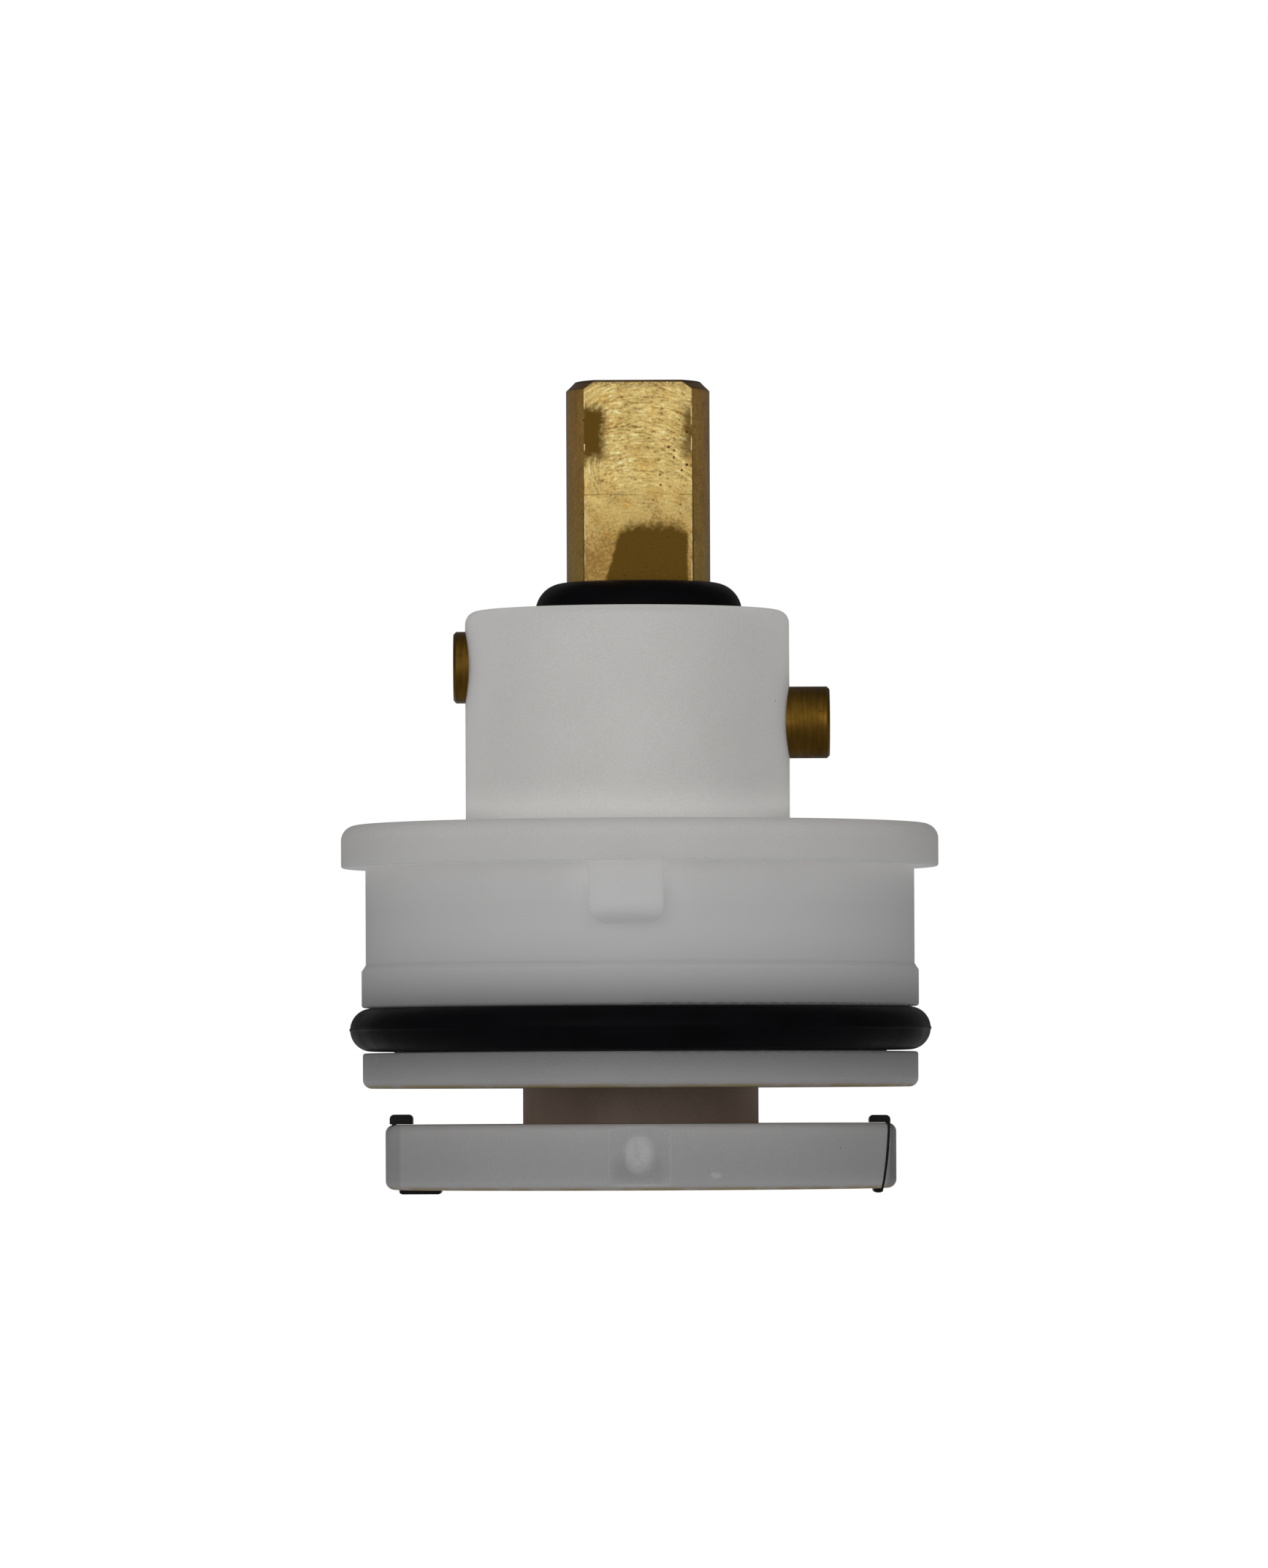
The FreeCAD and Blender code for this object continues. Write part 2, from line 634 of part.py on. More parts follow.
def make_pin(label, height, reach, turn):
    """Brass pin with a thin nose, pressed into the neck. Its own axis is Z, with the nose at 0."""
    body = new_body(label)
    sketch = new_sketch(body, "XZ_Plane")
    outline(
        sketch,
        [
            (0, 0),
            (dim.nose_radius, 0),
            (dim.nose_radius, dim.nose_length),
            (dim.pin_radius, dim.nose_length),
            (dim.pin_radius, dim.pin_length - dim.edge_break),
            (dim.pin_radius - dim.edge_break, dim.pin_length),
            (0, dim.pin_length),
        ],
    )
    revolve(body, "turned", sketch)
    side = 1 if turn > 0 else -1
    body.Placement = FreeCAD.Placement(
        FreeCAD.Vector(0, 0, 0), FreeCAD.Rotation(FreeCAD.Vector(0, 1, 0), turn)
    )
    bind(body, Placement__Base__x=(reach - dim.pin_length) * side, Placement__Base__z=height)
    return body


def make_washer(label, top_down, thickness, outer, inner):
    """Flat ring below a given depth."""
    body = new_body(label)
    bind(body, Placement__Base__z=-top_down)
    sketch = new_sketch(body, "XY_Plane")
    circle(sketch, outer)
    circle(sketch, inner)
    pad(body, "ring", sketch, thickness, backwards=True)
    return body


# ---------------------------------------------------------------- stem and its seals


def make_stem():
    """Brass stem: shank with two flats, pin grooves, O-ring grooves, collar and drive tang."""
    body = new_body("stem")
    half_gland = dim.gland_width / 2
    half_groove = dim.pin_groove_width / 2
    grooves = []
    for middle, half in (
        (dim.retaining_pin_height, half_groove),
        (dim.upper_seal_height, half_gland),
        (dim.lower_seal_height, half_gland),
    ):
        grooves += [
            (dim.stem_radius, middle + half),
            (dim.stem_root, middle + half),
            (dim.stem_root, middle - half),
            (dim.stem_radius, middle - half),
        ]
    sketch = new_sketch(body, "XZ_Plane")
    downwards = [
        (0, dim.stem_top),
        (dim.shank_radius - dim.shank_chamfer, dim.stem_top),
        (dim.shank_radius, dim.stem_top - dim.shank_chamfer),
        (dim.shank_radius, dim.ring_seat_height),
        (dim.stem_radius, dim.ring_seat_height),
        *grooves,
        (dim.stem_radius, -dim.collar_top_down),
        (dim.collar_radius, -dim.collar_top_down),
        (dim.collar_radius, -dim.collar_low_down),
        (0, -dim.collar_low_down),
    ]
    outline(sketch, downwards)
    revolve(body, "turned", sketch)

    flat = new_sketch(body, "XY_Plane", lift=dim.stem_top + CUT_SPARE)
    outside = dim.shank_radius + CUT_SPARE
    rectangle(flat, -outside, outside, dim.flats_width / 2, outside)
    one_flat = pocket(body, "flat", flat, dim.stem_top + CUT_SPARE - dim.flats_low)
    around_axis(body, "flats", one_flat, 2)
    flat_face = dim.flats_width.value / 2

    def is_flat_top(edge):
        at_top = all(abs(vertex.Point.z - dim.stem_top.value) < 1e-6 for vertex in edge.Vertexes)
        return at_top and abs(abs(edge.CenterOfMass.y) - flat_face) < 1e-6

    round_edges(body, "flats_edges", dim.flats_edge, is_flat_top, 2)
    add_stop_groove(body)

    tang = new_sketch(body, "XY_Plane", lift=-dim.collar_low_down)
    half_tang = dim.tang_width / 2
    rectangle(tang, -half_tang, half_tang, -half_tang, half_tang)
    pad(body, "tang", tang, dim.tang_low_down - dim.collar_low_down, backwards=True)
    return body


def add_stop_groove(body):
    """Groove around part of the stem. Its ends meet the stop pin's nose and limit the turn."""
    before = volume(body)
    sketch = new_sketch(body, "XZ_Plane")
    half = dim.pin_groove_width / 2
    outside = dim.stem_radius + CUT_SPARE
    middle = dim.stop_pin_height
    rectangle(sketch, -outside, -dim.stem_root, middle - half, middle + half)
    groove = body.newObject("PartDesign::Groove", "stem_stop_groove")
    groove.Profile = sketch
    groove.ReferenceAxis = (sketch, ["V_Axis"])
    groove.Midplane = True
    tip = dim.stop_pin_reach - dim.pin_length
    nose_angle = f"atan({dim.nose_radius.text} / {tip.text}) / 1 deg"
    spread = f"{dim.stem_turn_angle.text} + {dim.stop_margin_angle.text} + {nose_angle}"
    groove.setExpression("Angle", f"2 * ({spread})")
    settle(body, groove, before, False)


def make_stem_wiper_ring():
    """Domed rubber ring between the stem and the top of the neck."""
    body = new_body("stem_wiper_ring")
    inner = dim.shank_radius + dim.seam
    low = dim.ring_seat_height + dim.seam
    crown = dim.ring_shoulder_height + dim.ring_dome
    sketch = new_sketch(body, "XZ_Plane")
    outline(
        sketch,
        [
            (inner, low),
            (dim.ring_outer - dim.edge_break, low, dim.edge_break, 1),
            (dim.ring_outer, low + dim.edge_break),
            (dim.ring_outer, dim.ring_shoulder_height, dim.ring_dome, 1),
            (dim.ring_outer - dim.ring_dome, crown),
            (inner, crown),
        ],
    )
    revolve(body, "ring", sketch)
    return body


def make_o_ring(label, height, middle, section):
    """Plain O-ring as a torus around the Z axis."""
    ring = doc.addObject("Part::Torus", label)
    ring.Label = label
    bind(ring, Radius1=middle, Radius2=section, Placement__Base__z=height)
    return ring


# ---------------------------------------------------------------- rotor: hub, spring and plate


def make_rotor_spring():
    """Coil spring with ground ends, around the hub and under the spring seat."""
    body = new_body("rotor_spring")
    low = -dim.spring_low_down
    top = -dim.spring_top_down
    start = low + dim.wire_radius / 2
    sketch = new_sketch(body, "XZ_Plane")
    circle(sketch, dim.wire_radius, dim.spring_middle, start)
    coil = body.newObject("PartDesign::AdditiveHelix", "rotor_spring_coil")
    coil.Profile = sketch
    coil.ReferenceAxis = (sketch, ["V_Axis"])
    coil.Mode = "pitch-height-angle"
    bind(coil, Pitch=dim.spring_pitch, Height=top - low - dim.wire_radius)
    settle(body, coil, 0.0, True)
    outside = dim.spring_middle + dim.wire_radius + CUT_SPARE
    inside = dim.spring_middle - dim.wire_radius - CUT_SPARE
    for name, near, far in (
        ("ground_top", top, top + CUT_SPARE),
        ("ground_bottom", low - CUT_SPARE, low),
    ):
        face = new_sketch(body, "XZ_Plane")
        rectangle(face, inside, outside, near, far)
        cut_round(body, name, face)
    return body


def make_drive_hub():
    """Hub that the stem's tang turns and that slides on it, with a flange kept in by the cap."""
    body = new_body("drive_hub")
    sketch = new_sketch(body, "XZ_Plane")
    outline(
        sketch,
        [
            (0, -dim.hub_top_down),
            (0, -dim.spigot_low_down),
            (dim.spigot_radius, -dim.spigot_low_down),
            (dim.spigot_radius, -dim.hub_low_down),
            (dim.hub_radius, -dim.hub_low_down),
            (dim.hub_radius, -dim.hub_flange_low_down),
            (dim.hub_flange_radius, -dim.hub_flange_low_down),
            (dim.hub_flange_radius, -dim.hub_flange_top_down),
            (dim.hub_radius, -dim.hub_flange_top_down),
            (dim.hub_radius, -dim.hub_top_down),
        ],
    )
    revolve(body, "hub", sketch)

    socket = new_sketch(body, "XY_Plane", lift=-dim.hub_top_down)
    half = dim.socket_width / 2
    rectangle(socket, -half, half, -half, half)
    pocket(body, "socket", socket, dim.socket_low_down - dim.hub_top_down)

    flat = new_sketch(body, "XY_Plane", lift=-dim.spigot_low_down)
    edge = dim.spigot_radius + CUT_SPARE
    rectangle(flat, -edge, edge, dim.spigot_flats / 2, edge)
    cut = pocket(body, "flat", flat, dim.spigot_low_down - dim.hub_low_down, backwards=True)
    mirrored(body, "flats", cut, "XZ_Plane")

    hole = new_sketch(body, "XY_Plane", lift=-dim.spigot_low_down)
    circle(hole, dim.insert_radius + dim.seam)
    pocket(body, "insert_hole", hole, dim.spigot_low_down - dim.insert_high_down, backwards=True)

    groove = new_sketch(body, "XZ_Plane")
    half_groove = dim.gasket_groove_width / 2
    floor = dim.gasket_groove_depth - dim.hub_low_down
    rectangle(
        groove,
        dim.gasket_middle - half_groove,
        dim.gasket_middle + half_groove,
        -dim.hub_low_down - CUT_SPARE,
        floor,
    )
    cut_round(body, "gasket_groove", groove)
    return body


def make_hub_insert():
    """Brass threaded insert in the hub for the plate screw."""
    body = new_body("hub_insert")
    bind(body, Placement__Base__z=-dim.insert_high_down - dim.seam)
    sketch = new_sketch(body, "XY_Plane")
    circle(sketch, dim.insert_radius)
    circle(sketch, dim.thread_radius)
    pad(body, "sleeve", sketch, dim.insert_length, backwards=True)
    return body


def sector(sketch, inner, outer, middle, half):
    """Draws a ring sector around a direction, in degrees."""
    start = middle - half
    end = middle + half
    outline(
        sketch,
        [
            polar(inner, start),
            (*polar(outer, start), outer, 1),
            polar(outer, end),
            (*polar(inner, end), inner, -1),
        ],
    )


def make_seal_plate():
    """White plate with two port windows, the port seal's pocket and the side seals' slots."""
    body = new_body("seal_plate")
    thickness = dim.plate_low_down - dim.plate_top_down
    flat_edge = dim.plate_radius - dim.plate_round
    sketch = new_sketch(body, "XZ_Plane")
    outline(
        sketch,
        [
            (0, -dim.plate_top_down),
            (0, -dim.plate_low_down),
            (flat_edge, -dim.plate_low_down, dim.plate_round, 1),
            (dim.plate_radius, dim.plate_round - dim.plate_low_down),
            (dim.plate_radius, -dim.plate_top_down - dim.plate_round, dim.plate_round, 1),
            (flat_edge, -dim.plate_top_down),
        ],
    )
    revolve(body, "disc", sketch)

    spigot_hole = new_sketch(body, "XY_Plane", lift=-dim.plate_top_down)
    radius = dim.spigot_radius + dim.slip
    half_flats = dim.spigot_flats / 2 + dim.slip
    reach = Size(
        math.sqrt(radius.value**2 - half_flats.value**2),
        f"sqrt({radius.text} ^ 2 - ({half_flats.text}) ^ 2)",
    )
    outline(
        spigot_hole,
        [
            (reach, -half_flats, radius, 1),
            (reach, half_flats),
            (-reach, half_flats, radius, 1),
            (-reach, -half_flats),
        ],
    )
    pocket(body, "spigot_hole", spigot_hole, thickness)

    head = new_sketch(body, "XY_Plane", lift=-dim.plate_low_down)
    circle(head, dim.head_bore)
    pocket(body, "head_recess", head, dim.plate_low_down - dim.ledge_down, backwards=True)

    window = new_sketch(body, "XY_Plane", lift=-dim.plate_top_down)
    sector(window, dim.port_inner, dim.port_outer, dim.window_angle, dim.port_half_angle)
    right_window = pocket(body, "window", window, thickness)
    mirrored(body, "windows", right_window, "YZ_Plane")

    seal_pocket = new_sketch(body, "XY_Plane", lift=-dim.plate_low_down)
    sector(seal_pocket, dim.port_inner, dim.port_outer, as_size(-90), dim.port_half_angle)
    pocket(body, "seal_pocket", seal_pocket, dim.pocket_depth, backwards=True)

    def is_port_corner(edge):
        at_corner = dim.port_inner.value - 0.01 < distance_out(edge) < dim.port_outer.value + 0.01
        return is_upright(edge) and at_corner

    round_edges(body, "port_corners", dim.port_round, is_port_corner, 12)

    slot = new_sketch(body, "XZ_Plane", lift=dim.slot_reach)
    blade_outline(slot, dim.blade_thickness + dim.seam * 2)
    right_slot = pocket(body, "slot", slot, dim.slot_reach + dim.blade_back + dim.slip)
    around_axis(body, "slots", right_slot, 2)
    add_front_recess(body)
    return body


def blade_outline(sketch, thickness):
    """Draws the bent blade of a side seal, from just above the plate to just below it."""
    high = dim.slip - dim.plate_top_down
    low = -dim.plate_low_down - dim.blade_proud
    half = thickness / 2
    outline(
        sketch,
        [
            (dim.blade_low_x - half, low),
            (dim.blade_low_x + half, low, dim.blade_bend, 1),
            (dim.blade_top_x + half, high),
            (dim.blade_top_x - half, high, dim.blade_bend, -1),
        ],
    )


def add_front_recess(body):
    """Shallow recess in the front of the rim, with the mark of the mould's gate standing in it."""
    floor = dim.plate_radius - dim.recess_depth
    recess = new_sketch(body, "XZ_Plane", lift=floor + CUT_SPARE)
    rectangle(
        recess,
        -dim.recess_left,
        dim.recess_right,
        -dim.recess_low_down,
        -dim.plate_top_down + CUT_SPARE,
    )
    pocket(body, "front_recess", recess, as_size(CUT_SPARE))
    gate = new_sketch(body, "XZ_Plane", lift=floor)
    half = dim.gate_width / 2
    corner = dim.gate_round
    high = -dim.gate_high_down
    low = -dim.gate_low_down
    outline(
        gate,
        [
            (corner - half, low),
            (half - corner, low, corner, 1),
            (half, low + corner),
            (half, high - corner, corner, 1),
            (half - corner, high),
            (corner - half, high, corner, 1),
            (-half, high - corner),
            (-half, low + corner, corner, 1),
        ],
    )
    pad(body, "gate_mark", gate, dim.gate_rise)
    gate_face = -(floor + dim.gate_rise).value

    def is_gate_edge(edge):
        return all(abs(vertex.Point.y - gate_face) < 1e-6 for vertex in edge.Vertexes)

    round_edges(body, "gate_edge", dim.gate_edge, is_gate_edge, 8)


def make_side_seal(label, head_outer, head_rise, foot_inner, turn):
    """Rubber side seal: a head on the plate, a blade in its slot and a foot below, turned into place."""
    body = new_body(label)
    blade = new_sketch(body, "XZ_Plane", lift=dim.blade_front)
    blade_outline(blade, dim.blade_thickness)
    pad(body, "blade", blade, dim.blade_front + dim.blade_back, backwards=True)

    length = dim.head_front + dim.head_back
    head = new_sketch(body, "XZ_Plane", lift=dim.head_front)
    low = dim.seam - dim.plate_top_down
    high = head_rise - dim.plate_top_down
    corner = dim.head_round
    outline(
        head,
        [
            (dim.head_inner, low),
            (head_outer, low),
            (head_outer, high - corner, corner, 1),
            (head_outer - corner, high),
            (dim.head_inner + corner, high, corner, 1),
            (dim.head_inner, high - corner),
        ],
    )
    pad(body, "head", head, length, backwards=True)

    foot = new_sketch(body, "XZ_Plane", lift=dim.head_front)
    top = -dim.plate_low_down - dim.seam
    bottom = -dim.plate_low_down - dim.foot_proud
    foot_outer = dim.blade_low_x + dim.blade_thickness / 2
    corner = dim.foot_round
    outline(
        foot,
        [
            (foot_inner, top),
            (foot_inner, bottom + corner, corner, 1),
            (foot_inner + corner, bottom),
            (foot_outer - corner, bottom, corner, 1),
            (foot_outer, bottom + corner),
            (foot_outer, top),
        ],
    )
    pad(body, "foot", foot, length, backwards=True)
    body.Placement = FreeCAD.Placement(
        FreeCAD.Vector(0, 0, 0), FreeCAD.Rotation(FreeCAD.Vector(0, 0, 1), turn)
    )
    return body


def make_port_seal():
    """Rubber pad in the plate's underside that closes one port."""
    body = new_body("port_seal")
    face = -dim.plate_low_down + dim.seam
    sketch = new_sketch(body, "XY_Plane", lift=face)
    half = dim.port_half_angle - dim.stop_margin_angle
    sector(sketch, dim.port_inner + dim.slip, dim.port_outer - dim.slip, as_size(-90), half)
    pad(body, "pad", sketch, dim.pocket_depth - dim.slip - dim.seam)
    round_edges(body, "corners", dim.port_round, is_upright, 4)
    return body


def make_plate_screw():
    """Pan head screw with a cross recess, up through the plate into the insert."""
    body = new_body("plate_screw")
    bearing = -dim.ledge_down - dim.plate_washer_thickness - dim.seam - dim.seam
    end = bearing - dim.screw_head_height
    sketch = new_sketch(body, "XZ_Plane")
    thread = dim.thread_radius - dim.seam
    outline(
        sketch,
        [
            (0, end),
            (dim.screw_head_radius / 2, end),
            (dim.screw_head_radius, end + dim.screw_head_height / 2),
            (dim.screw_head_radius, bearing),
            (thread, bearing),
            (thread, -dim.screw_top_down - dim.edge_break),
            (thread - dim.edge_break, -dim.screw_top_down),
            (0, -dim.screw_top_down),
        ],
    )
    revolve(body, "turned", sketch)
    slot = new_sketch(body, "XY_Plane", lift=end)
    half = dim.screw_slot_width / 2
    rectangle(slot, -dim.screw_slot_reach, dim.screw_slot_reach, -half, half)
    one_slot = pocket(body, "slot", slot, dim.screw_slot_depth, backwards=True)
    around_axis(body, "cross", one_slot, 4)
    return body


# ---------------------------------------------------------------- the assembly


def make_all():
    """Every sub-part of the cartridge, in its place."""
    hub_gasket_height = dim.gasket_section + dim.seam - dim.hub_low_down
    return [
        make_housing(),
        make_bottom_cap(),
        make_body_o_ring(),
        make_pin("stop_pin", dim.stop_pin_height, dim.stop_pin_reach, -90.0),
        make_pin("retaining_pin", dim.retaining_pin_height, dim.retaining_pin_reach, 90.0),
        make_washer(
            "thrust_washer",
            dim.washer_top_down,
            dim.washer_thickness,
            dim.washer_outer,
            dim.washer_bore,
        ),
        make_washer(
            "glide_washer",
            dim.glide_top_down,
            dim.glide_thickness,
            dim.glide_outer,
            dim.hub_bore,
        ),
        make_stem(),
        make_stem_wiper_ring(),
        make_o_ring(
            "stem_o_ring_upper",
            dim.upper_seal_height,
            dim.stem_seal_middle,
            dim.stem_seal_section,
        ),
        make_o_ring(
            "stem_o_ring_lower",
            dim.lower_seal_height,
            dim.stem_seal_middle,
            dim.stem_seal_section,
        ),
        make_washer(
            "spring_seat",
            dim.seat_top_down,
            dim.seat_thickness,
            dim.seat_outer,
            dim.seat_bore,
        ),
        make_rotor_spring(),
        make_drive_hub(),
        make_hub_insert(),
        make_o_ring("hub_o_ring", hub_gasket_height, dim.gasket_middle, dim.gasket_section),
        make_seal_plate(),
        make_side_seal(
            "side_seal_right",
            dim.head_outer_right,
            dim.head_rise_right,
            dim.foot_inner_right,
            0.0,
        ),
        make_side_seal(
            "side_seal_left",
            dim.head_outer_left,
            dim.head_rise_left,
            dim.foot_inner_left,
            180.0,
        ),
        make_port_seal(),
        make_washer(
            "plate_washer",
            dim.ledge_down + dim.seam,
            dim.plate_washer_thickness,
            dim.plate_washer_outer,
            dim.plate_washer_bore,
        ),
        make_plate_screw(),
    ]


def check(parts):
    """Stops the build if any object failed or any sub-part has no sound solid."""
    doc.recompute()
    for item in doc.Objects:
        if "Invalid" in item.State or "Error" in item.State:
            raise RuntimeError(f"{item.Name} failed: {item.State}")
    for part in parts:
        if part.Shape.isNull() or not part.Shape.isValid() or len(part.Shape.Solids) != 1:
            raise RuntimeError(f"{part.Label} is not one sound solid")


sub_parts = make_all()
check(sub_parts)
os.makedirs("parts", exist_ok=True)
for sub_part in sub_parts:
    sub_part.Shape.exportStep(f"parts/{sub_part.Label}.step")
    print(f"{sub_part.Label}: {sub_part.Shape.Volume:.2f} mm3")
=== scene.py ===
import math

import bpy
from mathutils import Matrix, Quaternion, Vector


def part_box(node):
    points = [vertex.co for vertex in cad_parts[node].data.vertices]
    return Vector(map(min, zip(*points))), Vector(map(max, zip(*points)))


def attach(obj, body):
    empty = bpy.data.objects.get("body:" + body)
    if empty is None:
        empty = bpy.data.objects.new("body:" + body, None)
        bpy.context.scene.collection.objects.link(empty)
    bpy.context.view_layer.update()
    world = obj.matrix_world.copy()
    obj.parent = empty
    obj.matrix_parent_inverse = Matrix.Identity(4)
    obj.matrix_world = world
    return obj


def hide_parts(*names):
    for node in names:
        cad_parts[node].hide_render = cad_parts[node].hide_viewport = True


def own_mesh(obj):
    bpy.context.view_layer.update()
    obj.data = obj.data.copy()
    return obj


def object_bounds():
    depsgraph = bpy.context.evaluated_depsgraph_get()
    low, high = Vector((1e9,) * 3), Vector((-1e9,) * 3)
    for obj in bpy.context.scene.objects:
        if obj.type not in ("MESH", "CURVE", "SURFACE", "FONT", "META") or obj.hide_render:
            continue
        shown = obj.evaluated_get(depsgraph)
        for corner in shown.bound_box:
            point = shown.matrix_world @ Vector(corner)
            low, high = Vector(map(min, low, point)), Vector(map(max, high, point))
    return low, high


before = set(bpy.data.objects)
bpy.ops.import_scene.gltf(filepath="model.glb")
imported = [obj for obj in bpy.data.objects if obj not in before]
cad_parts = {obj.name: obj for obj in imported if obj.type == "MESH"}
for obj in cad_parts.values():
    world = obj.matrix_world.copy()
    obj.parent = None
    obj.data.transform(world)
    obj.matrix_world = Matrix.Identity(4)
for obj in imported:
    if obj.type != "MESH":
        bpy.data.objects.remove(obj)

CAD_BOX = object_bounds()
MM = 0.001  # one millimetre in metres


def top_mm(node):
    """The height of a node's highest point, in millimetres."""
    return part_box(node)[1].z / MM


def low_mm(node):
    """The height of a node's lowest point, in millimetres."""
    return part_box(node)[0].z / MM


# ---------------------------------------------------------------- node graphs


class Nodes:
    """Short calls for the shader nodes that the materials and the studio share."""

    def __init__(self, tree):
        self.tree = tree

    def add(self, kind, **inputs):
        """A new node, with inputs set or linked by name. An underscore stands for a space."""
        node = self.tree.nodes.new(kind)
        for name, value in inputs.items():
            self.feed(node.inputs[name.replace("_", " ")], value)
        return node

    def feed(self, target, value):
        """Links a socket to an input, or sets the input to a value."""
        if isinstance(value, bpy.types.NodeSocket):
            self.tree.links.new(value, target)
        elif isinstance(value, tuple) and len(value) == 3 and target.type == "RGBA":
            target.default_value = (*value, 1.0)
        else:
            target.default_value = value

    def split(self, vector):
        """The three parts of a vector."""
        return self.add("ShaderNodeSeparateXYZ", Vector=vector).outputs[:3]

    def join(self, x, y, z):
        """A vector from its three parts."""
        return self.add("ShaderNodeCombineXYZ", X=x, Y=y, Z=z).outputs[0]

    def math(self, operation, a, b=0.0):
        """One arithmetic step on numbers."""
        node = self.tree.nodes.new("ShaderNodeMath")
        node.operation = operation
        for target, value in zip(node.inputs, (a, b)):
            self.feed(target, value)
        return node.outputs[0]

    def plus(self, first, *others):
        """The sum of two or more numbers."""
        for other in others:
            first = self.math("ADD", first, other)
        return first

    def times(self, first, *others):
        """The product of two or more numbers."""
        for other in others:
            first = self.math("MULTIPLY", first, other)
        return first

    def minus(self, a, b):
        """One number less another."""
        return self.math("SUBTRACT", a, b)

    def swing(self, value, size):
        """A value from 0 to 1 turned into one from -size / 2 to size / 2."""
        return self.times(self.minus(value, 0.5), size)

    def spread(self, noise, low=0.0, high=1.0):
        """Noise, most of which lies between 0.3 and 0.7, spread out from low to high."""
        return self.ramp(noise, 0.3, 0.7, low, high)

    def harder(self, noise, reach=0.15):
        """Noise around 0.5 stretched until it fills 0 to 1."""
        return self.ramp(noise, 0.5 - reach, 0.5 + reach)

    def stretched(self, vector, factors):
        """A vector with its parts multiplied by factors."""
        node = self.tree.nodes.new("ShaderNodeVectorMath")
        node.operation = "MULTIPLY"
        self.feed(node.inputs[0], vector)
        self.feed(node.inputs[1], factors)
        return node.outputs[0]

    def length(self, vector):
        """The length of a vector."""
        node = self.tree.nodes.new("ShaderNodeVectorMath")
        node.operation = "LENGTH"
        self.feed(node.inputs[0], vector)
        return node.outputs["Value"]

    def ramp(self, value, start, end, low=0.0, high=1.0):
        """A smooth step from low to high as a value goes from start to end."""
        node = self.tree.nodes.new("ShaderNodeMapRange")
        node.interpolation_type = "SMOOTHSTEP"
        for name, given in (
            ("Value", value),
            ("From Min", start),
            ("From Max", end),
            ("To Min", low),
            ("To Max", high),
        ):
            self.feed(node.inputs[name], given)
        return node.outputs[0]

    def band(self, value, start, end, soft):
        """1 between start and end, falling to 0 outside over a soft edge."""
        rise = self.ramp(value, start - soft, start + soft)
        fall = self.ramp(value, end - soft, end + soft, 1.0, 0.0)
        return self.times(rise, fall)

    def mix(self, amount, a, b, blend="MIX"):
        """A mix of two colours."""
        node = self.tree.nodes.new("ShaderNodeMix")
        node.data_type = "RGBA"
        node.blend_type = blend
        node.clamp_factor = True
        self.feed(node.inputs[0], amount)
        self.feed(node.inputs[6], a)
        self.feed(node.inputs[7], b)
        return node.outputs[2]

    def shade(self, colour, factor):
        """A colour made lighter or darker by a number."""
        return self.mix(1.0, colour, self.join(factor, factor, factor), "MULTIPLY")

    def either(self, amount, a, b):
        """A mix of two shaders."""
        node = self.tree.nodes.new("ShaderNodeMixShader")
        for target, value in zip(node.inputs, (amount, a, b)):
            self.feed(target, value)
        return node.outputs[0]


class Graph(Nodes):
    """A Principled material. Lengths inside it are in millimetres, in the object's own frame."""

    def __init__(self, name):
        self.material = bpy.data.materials.new(name)
        self.material.use_nodes = True
        super().__init__(self.material.node_tree)
        self.shader = self.tree.nodes["Principled BSDF"]
        coordinates = self.tree.nodes.new("ShaderNodeTexCoord")
        self.place = self.stretched(coordinates.outputs["Object"], (1 / MM, 1 / MM, 1 / MM))
        self.x, self.y, self.z = self.split(self.place)
        self.nx, self.ny, self.nz = self.split(coordinates.outputs["Normal"])

    def noise(self, per_mm, detail=2.0, rough=0.5, at=None, stretch=None):
        """Noise from 0 to 1 with so many features to the millimetre, stretched along the axes."""
        where = self.place if at is None else at
        if stretch is not None:
            where = self.stretched(where, stretch)
        node = self.add(
            "ShaderNodeTexNoise", Vector=where, Scale=per_mm, Detail=detail, Roughness=rough
        )
        return node.outputs["Fac"]

    def specks(self, per_mm, size, share):
        """Small round specks: 1 inside one. size is in spacings, share is the part that shows."""
        node = self.add("ShaderNodeTexVoronoi", Vector=self.place, Scale=per_mm)
        chance = self.split(node.outputs["Color"])[0]
        near = self.ramp(node.outputs["Distance"], size * 0.6, size, 1.0, 0.0)
        return self.times(near, self.math("LESS_THAN", chance, share))

    def bump(self, height_mm, below):
        """A normal from a relief in millimetres, laid over the one below it."""
        node = self.add("ShaderNodeBump", Strength=1.0, Distance=MM, Height=height_mm, Normal=below)
        return node.outputs[0]

    def soft_edges(self, radius_mm):
        """A normal that rounds sharp edges by a small radius."""
        node = self.add("ShaderNodeBevel", Radius=radius_mm * MM)
        node.samples = 4
        return node.outputs[0]

    def inner_corners(self, reach_mm):
        """How much of the view from a point is blocked by its own piece close by, 0 to 1."""
        node = self.add("ShaderNodeAmbientOcclusion", Distance=reach_mm * MM)
        node.samples = 8
        node.only_local = True
        return self.minus(1.0, node.outputs["AO"])

    def grazing(self):
        """How much the surface turns away from the viewer: 0 face on, 1 edge on."""
        return self.add("ShaderNodeLayerWeight").outputs["Facing"]

    def from_oval(self, middle, reach):
        """How far a point is from an upright oval's middle (x, z): 1 at its reach (x, z)."""
        across = self.math("DIVIDE", self.minus(self.x, middle[0]), reach[0])
        along = self.math("DIVIDE", self.minus(self.z, middle[1]), reach[1])
        return self.length(self.join(across, along, 0.0))

    def set(self, **inputs):
        """Sets or links the Principled shader's inputs. An underscore stands for a space."""
        for name, value in inputs.items():
            self.feed(self.shader.inputs[name.replace("_", " ")], value)


# ---------------------------------------------------------------- plastics and rubber

